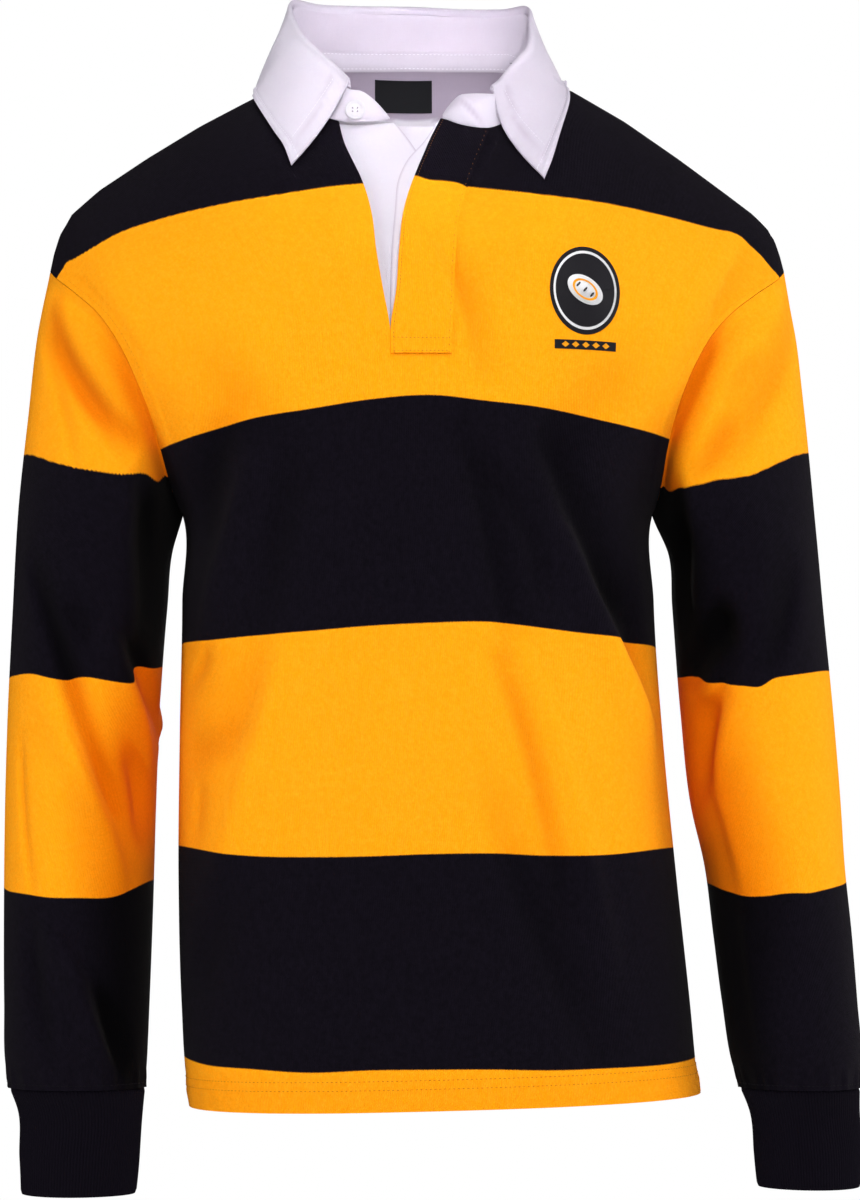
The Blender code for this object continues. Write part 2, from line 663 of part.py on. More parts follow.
def tube_point(sizes, hand, angle, z):
    """Point of an oval tube at a turn round it (0 outside, 90 front) and a height."""
    outer = smooth(z, sizes["z"][::-1], sizes["outer"][::-1])
    inner = smooth(z, sizes["z"][::-1], sizes["inner"][::-1])
    deep = smooth(z, sizes["z"][::-1], sizes["deep"][::-1])
    forward = smooth(z, sizes["z"][::-1], sizes["forward"][::-1])
    middle, half = (outer + inner) / 2, (outer - inner) / 2
    return np.stack([hand * (middle + half * np.cos(angle)), -forward - deep * np.sin(angle), z], -1)


def build_sleeve(name, hand, border):
    """A sleeve from the armhole border down to the cuff seam."""
    front_edge, back_edge, front_square, back_square = border
    ring = np.concatenate([front_edge[::-1], back_edge[1:-1]])
    panel_square = np.concatenate([front_square[::-1], back_square[1:-1]])
    ring[0, 1] = 0.0
    ring[len(front_edge) - 1, 1] = 0.0
    step = np.linalg.norm(np.roll(ring, -1, 0) - ring, axis=1)
    half_way = len(front_edge) - 1
    front_run = np.concatenate([[0.0], np.cumsum(step[:half_way])])
    back_run = np.cumsum(step[half_way:])[:-1]
    back_length = step[half_way:].sum()
    angle = np.concatenate([math.pi * front_run / front_run[-1], math.pi * (1 + back_run / back_length)])
    shares = np.linspace(0.0, 1.0, SLEEVE_ROWS + 1)
    sizes = SLEEVES[hand]
    z = ring[None, :, 2] + (CUFF_SEAM - ring[None, :, 2]) * shares[:, None]
    form = tube_point(sizes, hand, angle[None, :], z)
    off = ring - tube_point(sizes, hand, angle, ring[:, 2])
    fade = 1.0 - ease(shares / SEAM_FADE)
    outer = form + off[None] * fade[:, None, None]
    across = unit(outer - outer.mean(1, keepdims=True))
    # The folds are read in metres round the sleeve, so that their widths are true.
    around = 0.06
    folds = {key: (value * math.pi / 180 * around if key[0] == "a" else value)
             for key, value in SLEEVE_FOLDS[hand].items()}
    lift = fold_height(np.broadcast_to(angle * around, z.shape), z, folds)
    lift = lift * ease(shares / 0.12)[:, None] * ease((1.0 - shares) / 0.08)[:, None]
    outer = outer + across * lift[..., None]
    outer[0] = ring + unit(outer[1] - ring) * 0.0006
    square = normals_of(outer, closed=True)
    square = square * np.sign((square * across).sum(-1).mean())
    same = ease(((square[0] * panel_square).sum(-1) + 0.2) / 0.8)[:, None]
    square[0] = unit(square[0] * (1 - same) + panel_square * same)
    square[-1, :, 2] = 0.0
    square = unit(square)
    inner = outer - square * JERSEY
    if hand == RIGHT:
        outer, inner = outer[:, ::-1], inner[:, ::-1]
    wall(name, outer, inner, AMBER, 0.9, closed=True)


def build_cuff(name, hand):
    """A ribbed cuff: raised ribs outside over a plain inside."""
    sizes = CUFFS[hand]
    outer_levels = np.array([sizes["z"][0] - 2 * GAP, sizes["z"][1], sizes["z"][3]])
    fine = CUFF_FACETS * RIB_POINTS
    fine_angle = np.arange(fine) * 2 * math.pi / fine
    coarse_angle = np.arange(CUFF_FACETS) * 2 * math.pi / CUFF_FACETS
    angle, z = np.meshgrid(fine_angle, outer_levels)
    outer = tube_point(sizes, hand, angle, z)
    across = np.stack([hand * np.cos(angle), -np.sin(angle), np.zeros_like(angle)], -1)
    valley = (np.arange(fine) % 2) * RIB_DEPTH
    outer = outer - across * valley[None, :, None]
    angle, z = np.meshgrid(coarse_angle, outer_levels)
    inner = tube_point(sizes, hand, angle, z)
    across = np.stack([hand * np.cos(angle), -np.sin(angle), np.zeros_like(angle)], -1)
    inner = inner - across * RIB
    points = np.concatenate([outer.reshape(-1, 3), inner.reshape(-1, 3)])
    start = outer.shape[0] * fine
    faces = []
    for row in range(outer.shape[0] - 1):
        for column in range(fine):
            after = (column + 1) % fine
            faces.append([row * fine + column, (row + 1) * fine + column,
                          (row + 1) * fine + after, row * fine + after])
        for column in range(CUFF_FACETS):
            after = (column + 1) % CUFF_FACETS
            low = start + row * CUFF_FACETS
            high = low + CUFF_FACETS
            faces.append([low + column, low + after, high + after, high + column])
    for row, flip in ((0, False), (outer.shape[0] - 1, True)):
        for facet in range(CUFF_FACETS):
            here = start + row * CUFF_FACETS + facet
            there = start + row * CUFF_FACETS + (facet + 1) % CUFF_FACETS
            rim = [row * fine + (facet * RIB_POINTS + k) % fine for k in range(RIB_POINTS + 1)]
            middle = RIB_POINTS // 2
            fan = [[here, a, b] for a, b in zip(rim[:middle], rim[1:middle + 1])]
            fan.append([here, rim[middle], there])
            fan += [[there, a, b] for a, b in zip(rim[middle:-1], rim[middle + 1:])]
            faces += [face[::-1] for face in fan] if flip else fan
    if hand == LEFT:
        faces = [face[::-1] for face in faces]
    add_object(name, points, faces, BLACK, 0.95)


# ---------------------------------------------------------------- collar

def collar_turns():
    """Turns of the neck seam's points, with the stand's two free ends."""
    right_edge = neck_turn(PLACKET["underlap_edge"][-1])
    left_edge = neck_turn(PLACKET["fly_edge"][-1])
    right = np.linspace(right_edge, 90.0, NECK_COLUMNS["right"] + 1)
    back = np.linspace(90.0, 270.0, NECK_COLUMNS["back"] + 1)
    left = np.linspace(270.0, left_edge, NECK_COLUMNS["left"] + 1)
    ends = np.array([10.0, 13.5, 18.0, 24.0, 29.0])
    return np.concatenate([ends, right, back[1:], left[1:]])


def roll_line(turn):
    """Top of the collar's roll."""
    return np.stack([smooth(turn, COLLAR["turn"], COLLAR[k]) for k in ("roll_x", "roll_y", "roll_z")], -1)


def leaf_edge(turn):
    """Free edge of the collar leaf."""
    return np.stack([smooth(turn, COLLAR["turn"], COLLAR[k]) for k in ("edge_x", "edge_y", "edge_z")], -1)


def seam_point(turn):
    """The neck seam in space."""
    plan = neck_seam(turn)
    x, z = plan[..., 0], plan[..., 1]
    ahead = np.cos(np.radians(turn)) > 1e-6
    front, back = body_depth(x, z, FRONT), body_depth(x, z, BACK)
    level = np.abs(np.abs(x) - NECK_HALF) < 1e-4
    return np.stack([x, np.where(level, 0.0, np.where(ahead, front, back)), z], -1)


def outward(turn):
    """Level direction away from the middle of the neck."""
    angle = np.radians(turn)
    return np.stack([-np.sin(angle), -np.cos(angle), np.zeros_like(angle)], -1)


def stand_top(turn):
    """Top of the stand's outer face, under the roll, or lower where the stand ends."""
    out = outward(turn)
    under_roll = roll_line(turn) + out * 0.0005
    under_roll[..., 2] -= STAND_BELOW_ROLL
    seam = seam_point(turn)
    height = smooth(turn, STAND_ENDS["turn"], STAND_ENDS["height"])
    rise = np.stack([out[..., 0] * -0.05, out[..., 1] * -0.05, np.ones_like(turn)], -1)
    ends = seam + rise * height[..., None]
    blend = np.minimum(ease((turn - 26.0) / 12.0), ease((326.0 - turn) / 12.0))[..., None]
    return ends * (1 - blend) + under_roll * blend


def build_collar():
    """Stand, leaf and the button on the stand."""
    turns = collar_turns()
    seam = seam_point(turns)
    seam[:, 2] += 0.0006
    top = stand_top(turns)
    share = np.array([0.0, 0.5, 1.0])[:, None, None]
    out = outward(turns)
    bulge = np.array([0.0, 0.001, 0.0])[:, None, None]
    outer = seam[None] * (1 - share) + top[None] * share + out[None] * bulge
    square = unit(out + np.array([0.0, 0.0, 1e-9]))
    inner = outer - square[None] * DRILL
    wall("collar_stand", outer[:, ::-1], inner[:, ::-1], WHITE, 0.8)
    leaf_turns = turns[(turns > 28.0) & (turns < 324.0)]
    leaf_turns = np.append(leaf_turns, 323.0)
    roll = roll_line(leaf_turns)
    edge = leaf_edge(leaf_turns)
    out = outward(leaf_turns)
    up = np.array([0.0, 0.0, 1.0])
    under = stand_top(leaf_turns) - out * DRILL + up * 0.0005
    rows = [under, roll - out * 0.0013 - up * 0.0022, roll, roll + out * 0.0026 - up * 0.0012,
            roll + out * 0.0040 - up * 0.0050]
    start = rows[-1]
    # The two front edges bow towards the middle.
    bow = (RIGHT_BOW * np.exp(-((leaf_turns - 29.0) / 9.0) ** 2)
           - LEFT_BOW * np.exp(-((leaf_turns - 323.0) / 9.0) ** 2))
    for share in (0.22, 0.46, 0.73, 1.0):
        belly = math.sin(math.pi * share)
        row = start + (edge - start) * share + (out * 0.7 + up * 0.3) * belly * 0.003
        row[:, 0] += bow * belly
        rows.append(row)
    outer = np.array(rows)
    outer[5:] = lift_clear(outer[5:], JERSEY + 0.0022)
    square = normals_of(outer)
    square = square * np.sign((square[-1] * out).sum(-1).mean())
    inner = outer - square * DRILL
    wall("collar_leaf", outer[::-1, ::-1], inner[::-1, ::-1], WHITE, 0.8)
    build_button()


def lift_clear(points, clear):
    """The points, those too close to the body's form moved off it."""
    points = points.copy()
    for _ in range(6):
        x, y, z = points[..., 0], points[..., 1], points[..., 2]
        for face in (FRONT, BACK):
            mine = (y <= 0.0) if face == FRONT else (y > 0.0)
            ridge = form_start(x, z, face)
            over = z > ridge - 0.004
            surface = body_depth(x, np.minimum(z, ridge - 0.0005), face)
            normal = body_normal(x, np.minimum(z, ridge - 0.004), face)
            gap = (y - surface) * normal[..., 1]
            gap = np.where(over, np.maximum(gap, z - ridge), gap)
            push = np.where(mine, np.clip(clear - gap, 0.0, 0.004), 0.0)
            direction = np.where(over[..., None], np.array([0.0, 0.0, 1.0]), normal)
            points = points + direction * push[..., None]
    return points


def stand_face(turn, share):
    """Point of the stand's outer face, by the turn and the share of its height."""
    turn = np.array([turn])
    return (seam_point(turn) * (1 - share) + stand_top(turn) * share + outward(turn) * 0.001)[0]


def build_button():
    """Four-hole button with a rim, flat against the stand."""
    across = stand_face(BUTTON_TURN + 2, BUTTON_SHARE) - stand_face(BUTTON_TURN - 2, BUTTON_SHARE)
    rise = stand_face(BUTTON_TURN, BUTTON_SHARE + 0.1) - stand_face(BUTTON_TURN, BUTTON_SHARE - 0.1)
    out = unit(np.cross(rise, across))
    centre = stand_face(BUTTON_TURN, BUTTON_SHARE) + out * (BUTTON_THICK / 2 + 0.0006)
    sides = 24
    profile = ((0.62, 0.8), (0.78, 1.0), (0.93, 1.0), (1.0, 0.55), (1.0, 0.2), (0.9, -1.0))
    across = unit(np.cross(out, (0.0, 0.0, 1.0)))
    up = np.cross(across, out)
    points, faces = [], []
    for share, height in profile:
        for side in range(sides):
            turn = 2 * math.pi * side / sides
            flat = (across * math.cos(turn) + up * math.sin(turn)) * share * BUTTON_RADIUS
            points.append(centre + flat + out * height * BUTTON_THICK / 2)
    rings = len(profile)
    for ring in range(rings - 1):
        for side in range(sides):
            after = (side + 1) % sides
            a, b = ring * sides, (ring + 1) * sides
            faces.append([a + side, b + side, b + after, a + after])
    faces.append(list(range(sides)))
    faces.append([(rings - 1) * sides + side for side in reversed(range(sides))])
    button = add_object("collar_button", points, faces, BUTTON_WHITE, 0.35)
    for corner in range(4):
        turn = math.pi / 4 + corner * math.pi / 2
        hole_at = centre + (across * math.cos(turn) + up * math.sin(turn)) * 0.0019
        bore_points, bore_faces = [], []
        for height in (-1.0, 1.0):
            for side in range(8):
                angle = 2 * math.pi * side / 8
                flat = (across * math.cos(angle) + up * math.sin(angle)) * 0.0008
                bore_points.append(hole_at + flat + out * height * BUTTON_THICK)
        for side in range(8):
            after = (side + 1) % 8
            bore_faces.append([side + 8, after + 8, after, side])
        bore_faces.append(list(range(15, 7, -1)))
        bore_faces.append(list(range(8)))
        bore = add_object("button_bore_%d" % corner, bore_points, bore_faces, BLACK, 0.9)
        bore.hide_render = True
        bore.display_type = "WIRE"
        cut = button.modifiers.new("hole_%d" % corner, "BOOLEAN")
        cut.operation = "DIFFERENCE"
        cut.object = bore


# ---------------------------------------------------------------- placket and neck pieces

def over_panel(points, square, x, z, face, outside):
    """Points and directions of a panel's own lattice over (x, z)."""
    a, b, c, d = (points[:-1, :-1], points[:-1, 1:], points[1:, 1:], points[1:, :-1])
    na, nb, nc, nd = (square[:-1, :-1], square[:-1, 1:], square[1:, 1:], square[1:, :-1])
    corners = [(a, b, c, na, nb, nc), (a, c, d, na, nc, nd), (a, b, d, na, nb, nd), (b, c, d, nb, nc, nd)]
    corners = [np.concatenate([group[k].reshape(-1, 3) for group in corners]) for k in range(6)]
    p0, p1, p2 = corners[:3]
    side_1, side_2 = (p1 - p0)[:, [0, 2]], (p2 - p0)[:, [0, 2]]
    area = side_1[:, 0] * side_2[:, 1] - side_1[:, 1] * side_2[:, 0]
    whole = np.abs(area) > 1e-9
    corners = [corner[whole] for corner in corners]
    p0, side_1, side_2, area = corners[0], side_1[whole], side_2[whole], area[whole]
    at = np.stack([x.reshape(-1), z.reshape(-1)], -1)
    away = at[:, None] - p0[None, :, [0, 2]]
    share_1 = (away[..., 0] * side_2[:, 1] - away[..., 1] * side_2[:, 0]) / area
    share_2 = (side_1[:, 0] * away[..., 1] - side_1[:, 1] * away[..., 0]) / area
    least = np.minimum(np.minimum(share_1, share_2), 1.0 - share_1 - share_2)
    shares = np.stack([1.0 - share_1 - share_2, share_1, share_2], -1)
    depth = sum(shares[..., k] * corners[k][:, 1] for k in range(3)) * face
    rank = np.where(least > -1e-6, depth if outside else -depth, -10.0 + np.maximum(least, -5.0))
    best = rank.argmax(1)
    share = shares[np.arange(len(at)), best]
    place = sum(share[:, k, None] * corners[k][best] for k in range(3))
    facing = unit(sum(share[:, k, None] * corners[k + 3][best] for k in range(3)))
    return place.reshape(*x.shape, 3), facing.reshape(*x.shape, 3)


def laid(name, panel, x, z, face, start, thick, colour):
    """A wall that lies on a panel (start above 0) or under it (start below 0), a gap away."""
    outer, inner, square = panel
    x, z = np.broadcast_arrays(x, z)
    outside = np.mean(start) > 0
    place, facing = over_panel(outer if outside else inner, square, x, z, face, outside)
    start = np.broadcast_to(start, x.shape)[..., None]
    near = place + facing * start
    far = near + facing * (thick if outside else -thick)
    high, low = (far, near) if outside else (near, far)
    if face == BACK:
        high, low = high[:, ::-1], low[:, ::-1]
    wall(name, high, low, colour, 0.85)


def neck_depth(x, hand):
    """Height of the front neck seam over x."""
    turns = np.linspace(0.0, 90.0, 91) if hand == RIGHT else np.linspace(360.0, 270.0, 91)
    plan = neck_seam(turns)
    return np.interp(np.abs(x), np.abs(plan[:, 0]), plan[:, 1])


def placket_plan(start, end, shares, below, hand):
    """Lattice of (x, z) between two edges of the placket, its top row just under the neck seam."""
    levels = np.linspace(FLY_FOOT, -0.0535, 13)
    share = np.asarray(shares)[None, :]
    left = smooth(levels, PLACKET["z"], PLACKET[start[0]]) + start[1]
    right = smooth(levels, PLACKET["z"], PLACKET[end[0]]) + end[1]
    x = left[:, None] * (1 - share) + right[:, None] * share
    rise = (levels - levels[0]) / (levels[-1] - levels[0])
    top = neck_depth(x[-1], hand) - below
    z = levels[:, None] + (top - levels[-1])[None, :] * rise[:, None]
    return x, z


def build_placket(front):
    """Fly, its facing, and the underlap behind."""
    even = (0.0, 0.25, 0.5, 0.75, 1.0)
    x, z = placket_plan(("fly_edge", 0.0003), ("fly_seam", 0.0), even, 0.0012, LEFT)
    laid("placket_fly", front, x, z, FRONT, 0.0006, 0.0016, AMBER)
    x, z = placket_plan(("facing_edge", 0.0), ("fly_seam", -0.003), even, 0.0016, LEFT)
    laid("fly_facing", front, x, z, FRONT, -0.0004, 0.0010, WHITE)
    tucked = np.array([0.0, 0.06, 0.13, 0.35, 0.6, 0.8, 1.0])
    x, z = placket_plan(("underlap_edge", -0.0070), ("lap_right", 0.0), tucked, 0.0016, RIGHT)
    laid("placket_underlap", front, x, z, FRONT, -0.0004 - 0.0016 * ease(tucked / 0.13), 0.0012, WHITE)


def build_neck_pieces(back):
    """Half moon, neck tape and label inside the back of the neck."""
    turns = np.linspace(126.0, 234.0, 13)
    seam = neck_seam(turns)
    share = np.linspace(0.0, 1.0, 6)[:, None]
    across = -np.cos(np.linspace(0.0, math.pi, 13))
    top_x, top_z = seam[:, 0], seam[:, 1] - 0.0020
    foot_x, foot_z = 0.070 * across, -0.042 + 0.044 * across ** 2
    x = foot_x * (1 - share) + top_x * share
    z = foot_z * (1 - share) + top_z * share
    laid("half_moon", back, x, z, BACK, -0.0005, 0.0009, WHITE)
    share = share[[0, -1]]
    x = top_x[2:-2] * np.ones_like(share)
    z = (top_z - 0.0054)[2:-2] * (1 - share) + top_z[2:-2] * share
    laid("neck_tape", back, x, z, BACK, -0.0019, 0.0009, WHITE)
    x = np.linspace(-0.0303, 0.0152, 5)[None, :]
    z = np.linspace(-0.0026, 0.0190, 3)[:, None]
    laid("neck_label", back, x, z, BACK, -0.0019, 0.0007, BLACK)


def main():
    """The whole shirt."""
    for thing in list(bpy.data.objects):
        bpy.data.objects.remove(thing, do_unlink=True)
    borders, front, back = build_body()
    build_sleeve("sleeve_right", RIGHT, borders[RIGHT])
    build_sleeve("sleeve_left", LEFT, borders[LEFT])
    build_cuff("cuff_right", RIGHT)
    build_cuff("cuff_left", LEFT)
    build_collar()
    build_placket(front)
    build_neck_pieces(back)


main()
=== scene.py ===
"""Dress for a long-sleeve rugby shirt: cloth, collar, placket, sewing, badge, button and studio.

Metres, +Z up. The shirt faces -Y and -X is the wearer's right. The origin lies between the high points
of the shoulders. Every sheet of cloth is a fine wall on the form of its solid.
"""
from __future__ import annotations

import logging
import math
from dataclasses import dataclass, field
from enum import Enum
from typing import Sequence

import bpy
import numpy as np
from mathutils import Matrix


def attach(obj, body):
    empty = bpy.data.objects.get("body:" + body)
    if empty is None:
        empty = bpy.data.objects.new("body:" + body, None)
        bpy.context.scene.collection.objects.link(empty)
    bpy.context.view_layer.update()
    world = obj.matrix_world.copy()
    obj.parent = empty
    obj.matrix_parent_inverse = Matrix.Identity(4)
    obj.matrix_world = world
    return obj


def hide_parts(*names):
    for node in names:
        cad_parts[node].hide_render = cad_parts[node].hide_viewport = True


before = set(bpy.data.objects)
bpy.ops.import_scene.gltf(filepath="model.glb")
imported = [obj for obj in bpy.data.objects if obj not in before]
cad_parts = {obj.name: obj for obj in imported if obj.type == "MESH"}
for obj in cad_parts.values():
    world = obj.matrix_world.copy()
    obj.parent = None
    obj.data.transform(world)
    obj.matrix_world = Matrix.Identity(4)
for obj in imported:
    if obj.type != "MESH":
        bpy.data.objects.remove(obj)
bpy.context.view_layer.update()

log = logging.getLogger("rugby_shirt")
Array = np.ndarray
Line = tuple[Array, Array]
RGB = tuple[float, float, float]
Rows = Sequence[Sequence[float]]
TURNS = ("turn", "open", "shut", "a0", "a1", "a2", "lean")
THREAD_OFF = 0.0001


class Hand(Enum):
    """The wearer's side, as the sign of x."""

    RIGHT = -1
    LEFT = 1


class Face(Enum):
    """Front or back of the body, as the sign of y."""

    FRONT = -1
    BACK = 1


class Table(dict[str, Array]):
    """Named columns of sizes over the stations in the first."""

    def read(self, at: Array, name: str) -> Array:
        """A column's smooth curve over the stations."""
        return smooth(at, next(iter(self.values())), self[name])


def table(columns: str, *rows: Sequence[float]) -> Table:
    """Reads rows of sizes into named columns.

    Args:
        columns: The columns' names, with spaces between them.
        *rows: One row for each station, in millimetres, or in degrees for turns.

    Returns:
        The table, with its sizes in metres.
    """
    return Table({name: np.array(column, float) * (1.0 if name in TURNS else 0.001)
                  for name, column in zip(columns.split(), zip(*rows))})


def pair(columns: str, right: Rows, left: Rows) -> dict[Hand, Table]:
    """Tables with the same columns for both sides of the wearer."""
    return {Hand.RIGHT: table(columns, *right), Hand.LEFT: table(columns, *left)}


def smooth(at: Array, stations: Array, values: Array) -> Array:
    """Reads a smooth curve through stations.

    Args:
        at: Where to read it.
        stations: Rising stations.
        values: The curve's values there, numbers or whole rows of points.

    Returns:
        The values at each place.
    """
    at = np.asarray(at, float)
    slopes = np.gradient(values, stations, axis=0)
    index = np.clip(np.searchsorted(stations, at) - 1, 0, len(stations) - 2)
    span = stations[index + 1] - stations[index]
    t = np.clip((at - stations[index]) / span, 0.0, 1.0)
    t, span = (part.reshape(part.shape + (1,) * (values.ndim - 1)) for part in (t, span))
    blend = t * t * (3.0 - 2.0 * t)
    start = t * (1.0 - t) ** 2 * span * slopes[index]
    end = t * t * (t - 1.0) * span * slopes[index + 1]
    return values[index] * (1.0 - blend) + values[index + 1] * blend + start + end


def steps(count: int) -> Array:
    """Even shares from 0 to 1."""
    return np.linspace(0.0, 1.0, count)


def run_of(points: Array) -> Array:
    """Length run along rows of points, from the first row."""
    along = np.linalg.norm(np.diff(points, axis=0), axis=-1)
    return np.concatenate([np.zeros_like(along[:1]), np.cumsum(along, 0)])


def line_at(stops: Array, run: Array, line: Array) -> Array:
    """Points of a line at distances from its start."""
    return np.stack([np.interp(stops, run, column) for column in line.T], -1)


def ease(t: Array | float) -> Array:
    """Soft step from 0 to 1."""
    t = np.clip(t, 0.0, 1.0)
    return t * t * (3.0 - 2.0 * t)


def unit(vectors: Array) -> Array:
    """The same directions, each one long."""
    return vectors / np.maximum(np.linalg.norm(vectors, axis=-1, keepdims=True), 1e-12)


def bump_at(distance: Array, wide: float) -> Array:
    """Round hump, 1 at no distance and about a third at the width."""
    return np.exp(-(distance / wide) ** 2)


# ---------- sizes

BODY = table(
    "z right left front back",
    (-775, 158, 211, 117, 117), (-745, 163, 207, 119, 118), (-690, 167, 202, 121, 119),
    (-600, 170, 193, 124, 120), (-500, 170, 184, 128, 122), (-400, 169, 178, 132, 126),
    (-333, 170, 178, 135, 130), (-300, 187, 193, 135, 132), (-270, 208, 213, 135, 133),
    (-240, 234, 238, 134, 134), (-200, 272, 276, 133, 134), (-150, 316, 321, 132, 132),
    (-80, 360, 362, 131, 128), (60, 420, 420, 130, 124),
)
RIDGE = table(
    "out right left",
    (0, 0, 0), (87, 0, 0), (120, -16.5, -10.5), (160, -38, -34.5), (200, -63, -63), (235, -87, -89.5),
    (255, -105, -105), (262, -118, -112), (266.5, -133, -117), (270, -150, -124), (274, -156, -136),
    (277.5, -162, -150),
)
ARMHOLE = table(
    "z right left",
    (-333, 170, 178), (-315, 175.5, 181.2), (-293, 180.5, 183.8), (-265, 188.5, 190.5), (-247, 195.8, 197),
    (-228, 204.5, 206), (-210, 214.8, 217), (-193, 227.5, 232), (-176, 245.5, 252), (-163, 260, 268),
    (-150, 270, 277.5),
)
NECK_HALF = 0.087
NECK = table(
    "turn x z",
    (0, 0, -50), (10, -16, -50.3), (20, -31.8, -52), (30, -47, -52), (40, -60.5, -48), (52, -73, -39),
    (65, -81.2, -25), (78, -85.7, -11), (90, -87, 0), (101, -86.8, 6.2), (113, -85.2, 12.5),
    (125, -80, 18.5), (137, -70, 22.5), (149, -54, 25), (164, -28, 27), (180, 0, 28), (196, 28, 27),
    (211, 54, 25), (223, 70, 22.5), (235, 80, 18.5), (247, 85.2, 12.5), (259, 86.8, 6.2), (270, 87, 0),
    (282, 85.7, -11.5), (295, 81.5, -26), (308, 74.8, -41), (319, 66, -53), (329, 54, -57.8),
    (337, 42, -56.6), (343, 33, -54), (349, 22, -49), (360, 0, -46),
)
NAPE = table(
    "out rise",
    (0, 50.8), (28, 46.5), (54, 39.3), (70, 31.4), (80, 23), (85.2, 14.1), (86.8, 6.4), (87, 0),
)
PLACKET = table(
    "z underlap_edge fly_edge fly_seam facing_edge lap_right",
    (-240, -14, -14, 28.5, -14.6, 18), (-220, -14.4, -14.4, 29, -14.6, 18),
    (-190, -19.5, -10.4, 30.5, -14.2, 18), (-160, -24.5, -8.6, 31.5, -13.7, 17),
    (-130, -28.2, -5.6, 34.5, -11.8, 14.5), (-100, -36.5, 3, 42, -8.5, 12), (-86, -42.5, 8, 46.2, -2.5, 7),
    (-72, -48.2, 13, 51, 8, -0.5), (-50, -53.5, 22.2, 58, 20, -14.5),
)
COLLAR = table(
    "turn roll_x roll_y roll_z edge_x edge_y edge_z",
    (29, -45.7, -60, -18, -86.5, -87, -90.5), (35, -53.7, -50, -7, -92, -79, -74.5),
    (43, -63, -40, 4, -100, -66, -60), (62, -78.3, -20, 24, -114, -35, -33),
    (90, -86.8, 0, 42, -120.2, 0, -13), (112, -92.5, 20, 59, -118.5, 28, -2),
    (130, -91, 39, 73.5, -104, 56, 8), (146, -72, 54, 74.5, -82, 74, 14),
    (163, -38, 61.5, 75.5, -44, 84, 17), (180, -1, 63, 75.5, 0, 86, 18), (197, 37, 61, 73, 44, 84, 16),
    (214, 69, 52, 70, 82, 74, 12), (230, 87.5, 36, 67.2, 103, 55, 6), (248, 89, 18, 48, 115.5, 26, -3),
    (272, 86.6, -4, 25, 115, -4, -14), (298, 76.8, -24, 7, 114, -34, -37),
    (313, 68, -40, -8, 107, -64, -64), (318, 63.2, -48, -16, 101, -80, -86),
    (323, 58, -58, -23, 94.9, -90, -103),
)
STAND_ENDS = table(
    "turn height",
    (10, 2.5), (13.5, 10), (18, 18), (24, 24.5), (29, 25), (323, 25), (329.5, 26.8), (336.5, 25.8),
    (343, 21), (346.3, 12.5), (349, 3.5),
)
SLEEVE_SIZES = pair(
    "z outer inner deep forward",
    ((-750, 289.8, 191.8, 43, 18), (-735, 292.4, 191.2, 47, 17), (-690, 294.5, 190, 52, 14),
     (-620, 296.3, 188.5, 56, 10), (-550, 297, 187.5, 60, 7), (-480, 296.3, 185.7, 63, 5),
     (-400, 293.7, 181.1, 67, 4), (-360, 292.4, 178.3, 70, 3), (-333, 291.1, 170.9, 72, 3),
     (-260, 284.7, 159.8, 73, 2), (-200, 278.9, 152.9, 70, 1), (-150, 270, 150, 66, 0)),
    ((-750, 323, 236.2, 43, 18), (-735, 324.4, 231.8, 47, 17), (-690, 322.2, 225, 52, 14),
     (-640, 319.2, 219.3, 55, 11), (-590, 315.2, 213.6, 58, 8), (-550, 313.4, 204.8, 60, 7),
     (-480, 309, 197.7, 63, 5), (-400, 302.4, 192.6, 67, 4), (-360, 299.5, 190.2, 70, 3),
     (-333, 297.4, 178.9, 72, 3), (-260, 291.5, 167.8, 73, 2), (-200, 284.9, 159.9, 70, 1),
     (-150, 277.5, 156, 66, 0)),
)
CUFF_SIZES = pair(
    "z outer inner deep forward",
    ((-825, 280.2, 197.8, 31, 22), (-800, 281.2, 195.2, 32, 21), (-766, 282.6, 192.8, 34, 19),
     (-750, 289.4, 192, 42, 18)),
    ((-820, 322.2, 248.4, 31, 22), (-796, 323.6, 245.8, 32, 21), (-766, 321.7, 242.4, 34, 19),
     (-750, 322.6, 236.6, 42, 18)),
)

# Borders of the hoops over x, from the hem up: amber below the first, then black and amber in turn.
FRONT_HOOPS = table(
    "x hem low middle high",
    (-200, -725, -575, -429, -294), (-170, -727, -577, -431, -291), (-145, -731, -581, -433, -287),
    (-112, -732, -585, -432, -280), (-70, -733.5, -586, -430, -275), (-28, -731.5, -585.5, -427, -269),
    (13, -731, -584, -425, -266), (55, -731, -583.5, -424, -270), (97, -732, -585, -428, -274),
    (140, -731.5, -584, -432, -281), (184, -730.5, -579, -434, -286), (215, -728, -576, -435, -289),
)
BACK_HOOPS = table(
    "x hem low middle high",
    (-200, -725, -575, -429, -294), (-170, -727, -577, -431, -291), (-90, -737, -588, -437, -286),
    (0, -739, -590, -438, -282), (90, -737, -588, -437, -284), (184, -730.5, -579, -434, -288),
    (215, -728, -576, -435, -290),
)
FRONT_YOKE = table(
    "x z",
    (-272, -174), (-262, -164.5), (-258, -159.5), (-254, -152.5), (-248, -150), (-239, -146),
    (-216, -134.5), (-182, -126), (-137, -119), (-94, -114), (-51, -108), (0, -105), (56, -111), (99, -115),
    (142, -118.5), (187, -124), (221, -129), (243, -132.5), (256, -144), (267, -157), (285, -172),
)
BACK_YOKE = table(
    "x z",
    (-285, -170), (-262, -158), (-230, -148), (-170, -139), (-90, -132), (0, -129), (90, -132), (170, -139),
    (230, -148), (265, -160), (285, -170),
)
FLY_YOKE = table(
    "x z",
    (-20, -98), (2, -101), (13, -105), (24, -106), (34, -108), (40, -111), (60, -118),
)
